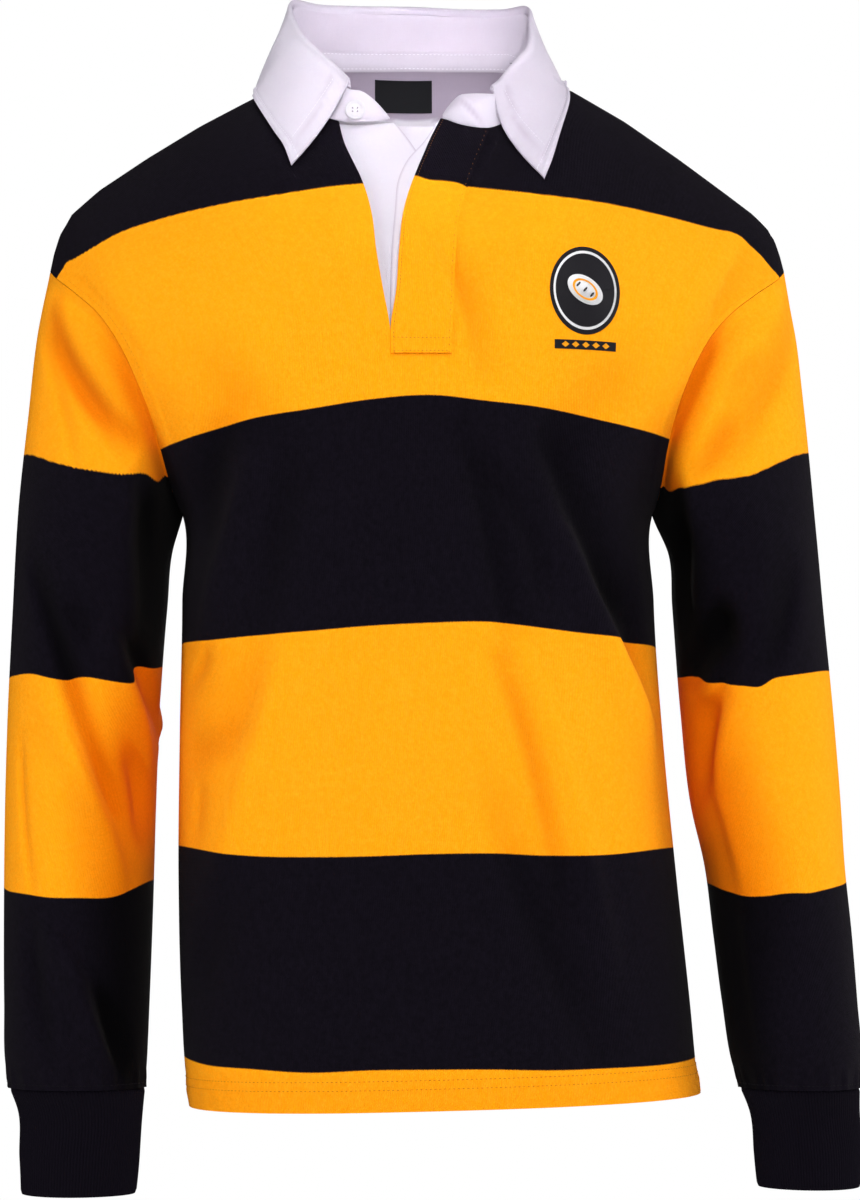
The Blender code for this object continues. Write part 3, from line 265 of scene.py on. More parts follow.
# The same on the sleeves, by the turn round them in degrees (0 outside, 90 front, 180 by the body).
SLEEVE_HOOPS = pair(
    "turn low middle high",
    ((-45, -608, -458, -292), (0, -606, -456, -290), (32, -610, -455, -295), (55, -612, -455, -304),
     (75, -614.2, -459, -310), (96, -614.5, -458, -314), (122, -614, -460, -313), (140, -609, -456, -316),
     (154, -605, -452, -306), (164, -603, -449, -290), (180, -602, -446, -290), (225, -604, -450, -310),
     (270, -608, -456, -300), (315, -608, -458, -292), (360, -606, -456, -290), (405, -610, -455, -300)),
    ((-45, -606, -453, -292), (0, -603, -450, -288), (36, -606, -452, -296), (58, -609, -455, -307),
     (72, -611, -457, -314), (83, -611, -459, -316.5), (94, -611.5, -465, -318), (106, -613, -464, -321),
     (130, -612, -461, -323), (148, -609, -458, -322), (162, -606, -456, -312), (180, -604, -454, -300),
     (225, -605, -452, -315), (270, -608, -455, -305), (315, -606, -453, -292), (360, -603, -450, -288),
     (405, -607, -453, -300)),
)

# Turns round a sleeve, by height, between which it passes from the open into the shade of the body.
SLEEVE_SHADE = pair(
    "z open shut",
    ((-750, 110, 150), (-700, 105, 140), (-600, 75, 135), (-550, 70, 135), (-490, 95, 145),
     (-330, 120, 150), (-200, 140, 175)),
    ((-750, 100, 150), (-700, 95, 140), (-600, 70, 135), (-550, 80, 130), (-490, 90, 145), (-330, 110, 140),
     (-200, 140, 175)),
)

# Folds: a line of three points, half width, height outward (troughs are negative), and how much wider
# the fold is on the left of its run than on the right.
FRONT_FOLDS = table(
    "x0 z0 x1 z1 x2 z2 wide high lean",
    (0, -130, 40, -165, 50, -250, 9, -4, 0.3), (35, -285, 60, -370, 70, -445, 11, -5, 0.3),
    (60, -445, 85, -480, 110, -625, 13, -6.6, 0.3), (70, -435, 105, -500, 140, -665, 11, 5.6, -0.2),
    (55, -540, 85, -640, 130, -720, 15, -4.5, 0.2), (50, -320, 95, -355, 90, -410, 12, -4, 0.3),
    (95, -295, 130, -380, 155, -410, 14, -8.5, 0.3), (110, -360, 140, -445, 185, -515, 11, 8, -0.4),
    (135, -390, 170, -440, 180, -485, 12, -9, 0.3), (-130, -275, -145, -310, -150, -365, 15, -7, 0),
    (-115, -315, -135, -380, -145, -430, 12, 6, 0.3), (-85, -315, -90, -335, -105, -420, 14, -4, 0),
    (-145, -435, -145, -450, -170, -475, 5, -3, 0.4), (-100, -435, -115, -480, -125, -505, 15, -4.5, -0.1),
    (-120, -500, -140, -505, -165, -520, 14, -4, 0.1), (-90, -440, -105, -520, -155, -660, 13, 6, 0),
    (-150, -535, -150, -550, -155, -575, 5, -2, 0.3), (-130, -600, -145, -635, -150, -675, 14, -4.5, 0),
    (-150, -230, -120, -260, -90, -300, 20, -3, 0), (160, -230, 120, -270, 90, -320, 20, -3, 0),
    (245, -140, 220, -190, 195, -255, 8, -3, 0.5), (230, -130, 200, -190, 180, -250, 10, 2.5, 0),
    (-245, -165, -225, -190, -205, -230, 8, -3, -0.5), (-230, -160, -205, -200, -190, -250, 10, 2.5, 0),
)
BACK_FOLDS = table(
    "x0 z0 x1 z1 x2 z2 wide high lean",
    (-150, -235, -100, -290, -70, -380, 16, -9, 0.3), (-160, -275, -120, -330, -85, -430, 13, 7, -0.3),
    (155, -230, 110, -295, 75, -390, 16, -9, -0.3), (165, -270, 130, -330, 90, -440, 12, 7, 0.3),
    (-90, -360, -100, -470, -130, -590, 13, 7, 0.4), (-70, -380, -80, -480, -110, -610, 12, -7, 0.3),
    (110, -380, 125, -480, 150, -600, 12, 7.5, -0.4), (90, -400, 105, -500, 130, -640, 12, -7.5, -0.3),
    (20, -420, 35, -520, 40, -640, 16, -5.5, 0.3), (-30, -480, -45, -580, -50, -700, 14, 5, -0.3),
    (60, -560, 80, -640, 85, -720, 12, 6, 0.3), (-140, -470, -120, -500, -90, -510, 12, -6, 0.3),
)
SLEEVE_FOLDS = pair(
    "a0 z0 a1 z1 a2 z2 wide high lean",
    ((30, -180, 35, -235, 105, -290, 8, -11, 0.1), (40, -180, 60, -220, 95, -270, 9, 5, 0),
     (20, -195, 40, -240, 70, -310, 4, -2.4, 0.3), (55, -250, 80, -280, 105, -305, 6, -2.5, 0),
     (50, -380, 85, -455, 120, -550, 9, -9, 0.3), (75, -485, 105, -530, 130, -600, 10, 7, -0.3),
     (80, -405, 90, -420, 100, -435, 9, -4, 0.3), (105, -315, 125, -380, 130, -425, 12, 6, -0.3),
     (120, -325, 150, -370, 145, -425, 12, -11, 0.3), (115, -430, 135, -460, 160, -510, 9, 7.5, -0.3),
     (130, -430, 145, -465, 185, -495, 10, -10, 0.2), (135, -515, 150, -535, 150, -565, 11, -8.5, 0.2),
     (45, -500, 45, -550, 60, -610, 4, -2.6, 0.3), (75, -635, 100, -665, 125, -735, 10, 6.5, -0.3),
     (105, -675, 120, -700, 135, -735, 10, -9.5, 0.3), (60, -630, 60, -680, 75, -725, 9, -3.6, 0)),
    ((55, -190, 90, -235, 120, -290, 8, -5.5, -0.1), (30, -170, 65, -230, 115, -305, 10, 3.5, 0),
     (50, -190, 60, -205, 70, -220, 6, 4.5, 0), (50, -220, 65, -240, 80, -260, 8, -3.5, 0),
     (75, -270, 85, -290, 110, -320, 9, -4, 0.2), (10, -180, 30, -230, 85, -305, 12, -4, 0.3),
     (115, -410, 120, -435, 150, -455, 12, -10, 0.2), (115, -410, 115, -425, 115, -440, 10, -8, 0),
     (130, -450, 130, -465, 135, -480, 10, 5, 0), (105, -460, 130, -475, 130, -540, 12, 7.5, -0.3),
     (115, -465, 135, -480, 150, -535, 12, -11.5, 0.2), (60, -375, 65, -415, 85, -450, 12, -4.5, 0.3),
     (130, -540, 125, -555, 125, -610, 12, 6, -0.3), (125, -625, 125, -640, 125, -715, 12, 5.5, -0.3),
     (110, -325, 135, -365, 135, -410, 12, 6, -0.3), (130, -330, 165, -370, 150, -415, 12, -10, 0.3)),
)


@dataclass(frozen=True)
class Folds:
    """A table of folds and how it is read."""

    sizes: Table

    def height(self, u: Array, v: Array) -> Array:
        """Height of all the folds at (u, v).

        Args:
            u: Place across, in the table's first unit.
            v: Place along, in metres.

        Returns:
            Height outward in metres.
        """
        height = np.zeros(np.broadcast(u, v).shape)
        along = steps(41)
        first, last = (1 - along) ** 2, along ** 2
        middle = 2 * along * (1 - along)
        for u0, v0, u1, v1, u2, v2, wide, high, lean in zip(*self.sizes.values()):
            line_u = first * u0 + middle * u1 + last * u2
            line_v = first * v0 + middle * v1 + last * v2
            box = ((u > line_u.min() - 4 * wide) & (u < line_u.max() + 4 * wide)
                   & (v > line_v.min() - 4 * wide) & (v < line_v.max() + 4 * wide))
            if not box.any():
                continue
            off_u, off_v = u[box][:, None] - line_u, v[box][:, None] - line_v
            away = np.hypot(off_u, off_v)
            nearest = away.argmin(-1)
            pick = np.arange(len(nearest))
            run_u, run_v = np.gradient(line_u)[nearest], np.gradient(line_v)[nearest]
            side = run_u * off_v[pick, nearest] - run_v * off_u[pick, nearest]
            half = wide * (1.0 + lean * np.tanh(side / np.hypot(run_u, run_v) / (0.4 * wide)))
            ends = 0.35 + 0.65 * np.sin(np.pi * along[nearest]) ** 0.7
            height[box] += high * ends * bump_at(away.min(-1), half)
        return height


@dataclass(frozen=True)
class ShirtForm:
    """The form of the body, which the panels, the placket and the collar follow."""

    square: float = 2.4
    rounding: float = 0.22
    front_curve: float = 1.5
    back_curve: float = 2.0
    underarm: float = -0.333
    hem: float = -0.759
    hem_tilt: float = 0.024
    middle: float = 0.020
    slit_foot: float = -0.220
    nape_wide: float = 0.110
    seam_sharp: float = 0.008
    softened: float = 0.040
    # Depth of a fold trough at which its painted shade is full.
    trough: float = 0.014

    def ridge(self, x: Array) -> Array:
        """Height of the shoulder ridge over x."""
        out = np.abs(x)
        right = np.interp(out, RIDGE["out"], RIDGE["right"])
        left = np.interp(out, RIDGE["out"], RIDGE["left"])
        return np.where(x < 0, right, left)

    def start(self, x: Array, z: Array, face: Face) -> Array:
        """Height at which the form starts over x.

        Args:
            x: Across.
            z: Height.
            face: Front or back.

        Returns:
            As the seams run beside them, softened further down.
        """
        out = np.abs(x)
        ridge = self.ridge(x)
        spread = np.linspace(-self.softened, self.softened, 9)
        soft = self.ridge(np.asarray(x)[..., None] + spread).mean(-1)
        tip = ease((out - 0.190) / 0.045)
        soft = soft * (1.0 - tip) + ridge * tip
        seam = ridge
        if face is Face.BACK:
            rear = (NECK["turn"] >= 90) & (NECK["turn"] <= 180)
            neck = np.interp(out, -NECK["x"][rear][::-1], NECK["z"][rear][::-1])
            seam = np.where(out < NECK_HALF, neck, ridge)
            ridge = ridge + np.interp(out, NAPE["out"], NAPE["rise"])
            soft = soft + NAPE["rise"][0] * np.exp(-(out / self.nape_wide) ** 2)
        near = np.exp(-np.clip(seam - z, 0.0, None) / self.seam_sharp)
        return ridge * near + soft * (1.0 - near)

    def depth(self, x: Array, z: Array, face: Face) -> Array:
        """How far the body stands in front of or behind the side seams.

        Args:
            x: Across.
            z: Height.
            face: Front or back.

        Returns:
            y in metres.
        """
        side = np.where(x < 0, BODY.read(z, "right"), BODY.read(z, "left"))
        full = BODY.read(z, face.name.lower())
        across = np.clip(1.0 - np.clip(np.abs(x) / side, 0.0, 1.0) ** self.square, 0.0, 1.0)
        curve = self.front_curve if face is Face.FRONT else self.back_curve
        down = np.clip((self.start(x, z, face) - z) / self.rounding, 0.0, 1.0)
        over = np.clip(1.0 - (1.0 - down) ** curve, 0.0, 1.0)
        return face.value * full * across ** (1.0 / self.square) * over ** (1.0 / curve)

    def normal(self, x: Array, z: Array, face: Face) -> Array:
        # Depth of a fold trough at which its painted shade is full.
        """Outward direction of the form over (x, z).

        Args:
            x: Across.
            z: Height.
            face: Front or back.

        Returns:
            Unit vectors.
        """
        step = 0.002
        in_x = (self.depth(x + step, z, face) - self.depth(x - step, z, face)) / (2 * step)
        in_z = (self.depth(x, z + step, face) - self.depth(x, z - step, face)) / (2 * step)
        sign = face.value
        return unit(np.stack([-in_x * sign, np.full_like(in_x, sign), -in_z * sign], -1))

    def inland(self, x: Array, z: Array) -> Array:
        """How far a place on a panel is from its side seam or armhole.

        Args:
            x: Across.
            z: Height.

        Returns:
            Distance in metres.
        """
        edges = []
        for hand in Hand:
            name = hand.name.lower()
            armhole = ARMHOLE.read(z, name)
            edges.append(np.where(z > self.underarm, armhole, BODY.read(z, name)))
        return np.where(x < 0, edges[0], edges[1]) - np.abs(x)

    def folds(self, x: Array, z: Array, face: Face) -> Array:
        """Height of the folds of the body's cloth, which die out towards the seams.

        Args:
            x: Across.
            z: Height.
            face: Front or back.

        Returns:
            Height outward.
        """
        height = Folds(FRONT_FOLDS if face is Face.FRONT else BACK_FOLDS).height(x, z)
        top = self.ridge(x)
        if face is Face.FRONT:
            necks = [self.neck_height(x, hand) for hand in Hand]
            top = np.where(np.abs(x) < NECK_HALF, np.where(x < 0, necks[0], necks[1]), top)
        return height * ease((self.inland(x, z) - 0.002) / 0.018) * ease((top - z) / 0.03)

    def painted_shade(self, x: Array, z: Array, face: Face) -> Array:
        """Painted shade, from 0 to 1, in the folds, beside an arm and above the hem.

        Args:
            x: Across.
            z: Height.
            face: Front or back.

        Returns:
            The share.
        """
        inland = self.inland(x, z)
        # Painted shade: darker beside each arm below the underarm, much more on the wearer's right, and just
        # above the hem, added to the shade in the fold troughs.
        low = ease((self.underarm - z) / 0.06) * ease((z + 0.70) / 0.16)
        flank = np.where(x < 0, 0.24 * low * (1.0 - ease((inland - 0.010) / 0.050)),
                         0.06 * low * (1.0 - ease((inland - 0.004) / 0.030)))
        hem = 0.15 * (1.0 - ease((z - self.hem_height(x) - 0.014) / 0.020))
        return np.clip(-self.folds(x, z, face) / self.trough + flank + hem, 0.0, 1.0)

    def side(self, z: Array, hand: Hand) -> Array:
        """Where the side seam stands."""
        return hand.value * BODY.read(z, hand.name.lower())

    def hem_height(self, x: Array) -> Array:
        """The hem hangs a little lower at the wearer's right."""
        return self.hem + self.hem_tilt * (x - self.middle)

    def armhole(self, share: Array, hand: Hand) -> Array:
        """Armhole seam from the underarm (0) to the shoulder tip (1) by length.

        Args:
            share: Shares of its length.
            hand: The wearer's side.

        Returns:
            Points (x, z).
        """
        z = np.linspace(ARMHOLE["z"][0], ARMHOLE["z"][-1], 200)
        line = np.stack([hand.value * ARMHOLE.read(z, hand.name.lower()), z], -1)
        run = run_of(line)
        return line_at(np.asarray(share) * run[-1], run, line)

    def neck(self, turn: Array) -> Array:
        """The point (x, z) of the neck seam at a turn round the neck in degrees."""
        return np.stack([NECK.read(turn, k) for k in ("x", "z")], -1)

    def neck_turn(self, x: float) -> float:
        """The turn at which the front of the neck seam passes over x."""
        turns = np.linspace(0.0, 90.0, 400) if x < 0 else np.linspace(360.0, 270.0, 400)
        return float(np.interp(abs(x), np.abs(self.neck(turns)[:, 0]), turns))

    def neck_height(self, x: Array, hand: Hand) -> Array:
        """Height of the front neck seam over x on one side."""
        turns = np.linspace(0.0, 90.0, 181) if hand is Hand.RIGHT else np.linspace(360.0, 270.0, 181)
        plan = self.neck(turns)
        return np.interp(np.abs(x), np.abs(plan[:, 0]), plan[:, 1])

    def neck_point(self, turn: Array) -> Array:
        """The neck seam in space."""
        plan = self.neck(turn)
        x, z = plan[..., 0], plan[..., 1]
        ahead = np.cos(np.radians(turn)) > 1e-6
        front, back = self.depth(x, z, Face.FRONT), self.depth(x, z, Face.BACK)
        level = np.abs(np.abs(x) - NECK_HALF) < 1e-4
        return np.stack([x, np.where(level, 0.0, np.where(ahead, front, back)), z], -1)


FORM = ShirtForm()


# ---------- finishes

class Graph:
    """Short hand for a material's node tree."""

    def __init__(self, name: str) -> None:
        """Makes the material and keeps its shader.

        Args:
            name: The material's name.
        """
        self.material = bpy.data.materials.new(name)
        self.material.use_nodes = True
        self.tree = self.material.node_tree
        self.shader = self.tree.nodes["Principled BSDF"]

    def node(self, kind: str, **settings: object) -> bpy.types.Node:
        """Adds a node.

        Args:
            kind: Blender's name for it.
            **settings: Its properties.

        Returns:
            The node.
        """
        node = self.tree.nodes.new(kind)
        for key, value in settings.items():
            setattr(node, key, value)
        return node

    def link(self, source: object, target: bpy.types.NodeSocket) -> None:
        """Links a socket, or sets a number or colour."""
        if isinstance(source, bpy.types.NodeSocket):
            self.tree.links.new(source, target)
        else:
            target.default_value = source

    def math(self, operation: str, first: object, second: object = 0.0, third: object = 0.0) -> object:
        """Adds a Math node.

        Args:
            operation: Its operation.
            first: First socket or number.
            second: Second socket or number.
            third: Third socket or number.

        Returns:
            Its output socket.
        """
        node = self.node("ShaderNodeMath", operation=operation)
        for socket, value in zip(node.inputs, (first, second, third)):
            self.link(value, socket)
        return node.outputs[0]

    def noise(self, scale: float, detail: float = 3.0, rough: float = 0.6) -> object:
        """Noise over the piece in metres, as a number from 0 to 1.

        Args:
            scale: Lumps for each metre.
            detail: Octaves.
            rough: How strong the finer octaves are.

        Returns:
            Its output socket.
        """
        node = self.node("ShaderNodeTexNoise", noise_dimensions="3D")
        place = self.node("ShaderNodeTexCoord")
        self.link(place.outputs["Object"], node.inputs["Vector"])
        for key, value in (("Scale", scale), ("Detail", detail), ("Roughness", rough)):
            node.inputs[key].default_value = value
        return node.outputs["Fac"]

    def around(self, value: object, amount: float) -> object:
        """A number from 0 to 1, spread to either side of nothing."""
        return self.math("MULTIPLY", self.math("SUBTRACT", value, 0.5), amount)

    def wave(self, place: object, pitch: float) -> object:
        """Soft lines at a pitch, as a number from 0 to 1."""
        turns = self.math("MULTIPLY", place, math.tau / pitch)
        return self.math("MULTIPLY_ADD", self.math("SINE", turns), 0.5, 0.5)

    def mark(self, name: str) -> object:
        """A number that is kept on the mesh."""
        return self.node("ShaderNodeAttribute", attribute_name=name).outputs["Fac"]

    def cloth(self) -> tuple[object, object]:
        """Places across and along the cloth in metres.

        Returns:
            The two sockets.
        """
        place = self.node("ShaderNodeUVMap", uv_map="cloth")
        parts = self.node("ShaderNodeSeparateXYZ")
        self.link(place.outputs[0], parts.inputs[0])
        return parts.outputs[0], parts.outputs[1]

    def mix(self, share: object, first: object, second: object) -> object:
        """Mixes two colours.

        Args:
            share: 0 for the first, 1 for the second.
            first: Socket or colour.
            second: Socket or colour.

        Returns:
            Its output socket.
        """
        node = self.node("ShaderNodeMix", data_type="RGBA")
        self.link(share, node.inputs[0])
        for colour, socket in zip((first, second), node.inputs[6:8]):
            self.link((*colour, 1.0) if isinstance(colour, tuple) else colour, socket)
        return node.outputs[2]

    def scaled(self, colour: object, gain: object) -> object:
        """A colour that is multiplied by a number from place to place."""
        node = self.node("ShaderNodeVectorMath", operation="SCALE")
        self.link(colour, node.inputs[0])
        self.link(gain, node.inputs["Scale"])
        return node.outputs[0]

    def colour(self, colour: object, gain: object) -> None:
        """Gives the shader a colour, scaled from place to place."""
        self.link(self.scaled(colour, gain), self.shader.inputs["Base Color"])

    def relief(self, *layers: tuple[object, float]) -> None:
        """Bump from heights.

        Args:
            *layers: Pairs of a height socket and its depth in metres.
        """
        last = None
        for height, depth in layers:
            node = self.node("ShaderNodeBump")
            node.inputs["Strength"].default_value = 1.0
            node.inputs["Distance"].default_value = depth
            self.link(height, node.inputs["Height"])
            if last is not None:
                self.link(last, node.inputs["Normal"])
            last = node.outputs[0]
        self.link(last, self.shader.inputs["Normal"])

    def surface(self, rough: float, specular: float, sheen: float = 0.0, tint: RGB = (1, 1, 1)) -> None:
        """Sets the shader's plain numbers.

        Args:
            rough: Roughness.
            specular: Specular level.
            sheen: Sheen weight.
            tint: Sheen tint.
        """
        for key, value in (("Roughness", rough), ("Specular IOR Level", specular), ("Sheen Weight", sheen),
                           ("Sheen Roughness", 0.45), ("Sheen Tint", (*tint, 1.0))):
            self.shader.inputs[key].default_value = value


@dataclass(frozen=True)
class Finish:
    """What a piece is made of."""

    name: str
    colour: RGB

    def paint(self, g: Graph) -> None:
        """Adds the finish's own nodes."""
        raise NotImplementedError

    def material(self) -> bpy.types.Material:
        """Makes the finish's material."""
        g = Graph(self.name)
        self.paint(g)
        return g.material


@dataclass(frozen=True)
class KnitFinish(Finish):
    """Heavy brushed jersey, knitted in hoops of two colours."""

    name: str = "hooped_jersey"
    colour: RGB = (1.0, 0.338, 0.0035)
    pale_amber: RGB = (1.0, 0.398, 0.0140)
    black: RGB = (0.0043, 0.0032, 0.0062)
    # Amber and black as they look in shade: painted shade, mixed in by the mesh's mark.
    painted_shade_amber: RGB = (0.70, 0.140, 0.0003)
    painted_shade_black: RGB = (0.0008, 0.0006, 0.0010)
    wale: float = 0.00125
    course: float = 0.00095
    border_sharp: float = 52.0

    def paint(self, g: Graph) -> None:
        """Colour from the hoops, loops and brushed fibre in the relief, with painted shade mixed in."""
        hoop = g.mark("hoop")
        fibre = g.noise(1500.0, 2.0, 0.7)
        hoop = g.math("ADD", hoop, g.around(fibre, 0.004))
        wave = g.math("SINE", g.math("MULTIPLY", hoop, math.pi))
        is_amber = g.math("MULTIPLY_ADD", wave, self.border_sharp, 0.5)
        is_amber = g.math("MINIMUM", g.math("MAXIMUM", is_amber, 0.0), 1.0)
        u, v = g.cloth()
        loops_u = g.math("DIVIDE", u, self.wale)
        slant = g.math("ABSOLUTE", g.math("SUBTRACT", g.math("FRACT", loops_u), 0.5))
        column = g.math("ABSOLUTE", g.math("SINE", g.math("MULTIPLY", loops_u, math.pi)))
        loops_v = g.math("ADD", g.math("DIVIDE", v, self.course), slant)
        stitch = g.wave(loops_v, 1.0)
        loop = g.math("MULTIPLY", column, g.math("MULTIPLY_ADD", stitch, 0.45, 0.55))
        cloud = g.noise(26.0, 3.0, 0.55)
        fleck = g.noise(620.0, 3.0, 0.7)
        nap = g.noise(260.0, 4.0, 0.75)
        pale = g.math("MULTIPLY", g.math("MAXIMUM", g.math("SUBTRACT", nap, 0.40), 0.0), 2.2)
        gain = g.math("MULTIPLY_ADD", loop, 0.10, 0.93)
        gain = g.math("ADD", gain, g.around(fleck, 0.34))
        gain = g.math("ADD", gain, g.around(cloud, 0.06))
        dusty = g.scaled(self.black, g.math("MULTIPLY_ADD", nap, 1.6, 0.2))
        # Painted shade: amber and black are mixed towards their shaded copies by the mesh's mark.
        painted_shade = g.mark("painted_shade")
        amber = g.mix(painted_shade, g.mix(pale, self.colour, self.pale_amber), self.painted_shade_amber)
        black = g.mix(painted_shade, dusty, self.painted_shade_black)
        g.colour(g.mix(is_amber, black, amber), gain)
        g.surface(0.95, 0.035, 0.012, (1.0, 0.92, 0.85))
        g.relief((loop, 0.00022), (fleck, 0.00022))


@dataclass(frozen=True)
class DrillFinish(Finish):
    """Firm white cotton drill with a fine slanting rib."""

    name: str = "white_drill"
    colour: RGB = (0.645, 0.609, 0.694)
    # The drill as it looks in shade: painted shade, mixed in by the mesh's mark.
    deep: RGB = (0.285, 0.214, 0.316)
    pitch: float = 0.0008
    relief: float = 0.00010

    def paint(self, g: Graph) -> None:
        """Twill lines, a little slub and painted shade."""
        u, v = g.cloth()
        rib = g.wave(g.math("MULTIPLY_ADD", v, 1.2, u), self.pitch)
        slub = g.noise(420.0, 4.0, 0.65)
        cloud = g.noise(30.0, 2.0, 0.5)
        gain = g.math("MULTIPLY_ADD", rib, 0.03, 0.965)
        gain = g.math("ADD", gain, g.around(slub, 0.05))
        gain = g.math("ADD", gain, g.around(cloud, 0.04))
        # Painted shade: the drill is mixed towards its shaded copy by the mesh's mark.
        painted_shade = g.mark("painted_shade")
        g.colour(g.mix(painted_shade, self.colour, self.deep), gain)
        g.surface(0.85, 0.1, 0.02)
        g.relief((rib, self.relief), (slub, 0.00012))


@dataclass(frozen=True)
class RibFinish(Finish):
    """Black knitted rib."""

    name: str = "black_rib"
    colour: RGB = (0.0040, 0.0030, 0.0058)

    def paint(self, g: Graph) -> None:
        """Fine courses across the ribs, with fibre."""
        _, v = g.cloth()
        course = g.wave(v, 0.0009)
        fleck = g.noise(700.0, 3.0, 0.7)
        gain = g.math("MULTIPLY_ADD", fleck, 0.7, 0.65)
        g.colour(self.colour, gain)
        g.surface(0.95, 0.03, 0.01)
        g.relief((course, 0.00012), (fleck, 0.00018))


@dataclass(frozen=True)
class ThreadFinish(Finish):
    """Sewing thread."""

    def paint(self, g: Graph) -> None:
        """Twisted yarn with a low sheen."""
        twist = g.noise(2600.0, 2.0, 0.6)
        gain = g.math("MULTIPLY_ADD", twist, 0.30, 0.85)
        g.colour(self.colour, gain)
        g.surface(0.75, 0.1, 0.01)
        g.relief((twist, 0.0001))


@dataclass(frozen=True)
class EmbroideryFinish(Finish):
    """Satin stitch, laid in one direction."""

    angle: float = 70.0
    pitch: float = 0.00055

    def paint(self, g: Graph) -> None:
        """Parallel threads that catch the light."""
        u, v = g.cloth()
        turn = math.radians(self.angle)
        across = g.math("MULTIPLY_ADD", u, math.cos(turn), g.math("MULTIPLY", v, math.sin(turn)))
        thread = g.wave(across, self.pitch)
        slub = g.noise(900.0, 2.0, 0.6)
        gain = g.math("ADD", g.math("MULTIPLY_ADD", thread, 0.14, 0.88), g.math("MULTIPLY", slub, 0.08))
        g.colour(self.colour, gain)
        g.surface(0.65, 0.12, 0.01)
        g.relief((thread, 0.0002), (slub, 0.0001))


@dataclass(frozen=True)
class ButtonFinish(Finish):
    """Glossy white polyester."""

    name: str = "white_button"
    colour: RGB = (0.50, 0.48, 0.53)

    def paint(self, g: Graph) -> None:
        """Moulded gloss with faint clouding."""
        cloud = g.noise(300.0, 2.0, 0.5)
        gain = g.math("MULTIPLY_ADD", cloud, 0.05, 0.97)
        g.colour(self.colour, gain)
        g.surface(0.36, 0.4)
        g.relief((cloud, 0.00002))


@dataclass(frozen=True)
class LabelFinish(Finish):
    """Black damask label, woven close, with a border of the same thread."""

    name: str = "black_label"
    colour: RGB = (0.010, 0.010, 0.012)

    def paint(self, g: Graph) -> None:
        """Fine crossing threads."""
        u, v = g.cloth()
        weft = g.math("SINE", g.math("MULTIPLY", v, math.tau / 0.00035))
        warp = g.math("SINE", g.math("MULTIPLY", u, math.tau / 0.00045))
        weave = g.math("MULTIPLY_ADD", g.math("MULTIPLY", weft, warp), 0.5, 0.5)
        gain = g.math("MULTIPLY_ADD", weave, 0.5, 0.8)
        g.colour(self.colour, gain)
        g.surface(0.7, 0.1, 0.01)
        g.relief((weave, 0.00005))


@dataclass(frozen=True)
class StageFinish(Finish):
    """Pale floor."""

    name: str = "pale_floor"
    colour: RGB = (0.93, 0.93, 0.93)

    def paint(self, g: Graph) -> None:
        """Plain matt paint with the faintest mottle."""
        gain = g.math("MULTIPLY_ADD", g.noise(2.0, 2.0), 0.01, 0.99)
        g.colour(self.colour, gain)
        g.surface(0.9, 0.1)


JERSEY = KnitFinish()
DRILL = DrillFinish()
RIB = RibFinish()
WHITE_THREAD = ThreadFinish("white_thread", (0.74, 0.71, 0.79))
AMBER_THREAD = ThreadFinish("amber_thread", (0.72, 0.24, 0.005))
HEM_THREAD = ThreadFinish("hem_thread", (0.42, 0.14, 0.006))
BROWN_THREAD = ThreadFinish("brown_thread", (0.26, 0.10, 0.02))
# Grey copy of the white thread: painted shade for the button's holes.
PAINTED_HOLE_SHADE = ThreadFinish("painted_hole_shade", (0.20, 0.18, 0.22))
BLACK_THREAD = ThreadFinish("black_thread", (0.004, 0.003, 0.005))


class Palette:
    """Makes each material once."""

    made: dict[str, bpy.types.Material] = {}

    @classmethod
    def of(cls, finish: Finish) -> bpy.types.Material:
        """The material of a finish."""
        if finish.name not in cls.made:
            cls.made[finish.name] = finish.material()
        return cls.made[finish.name]


# ---------- cloth

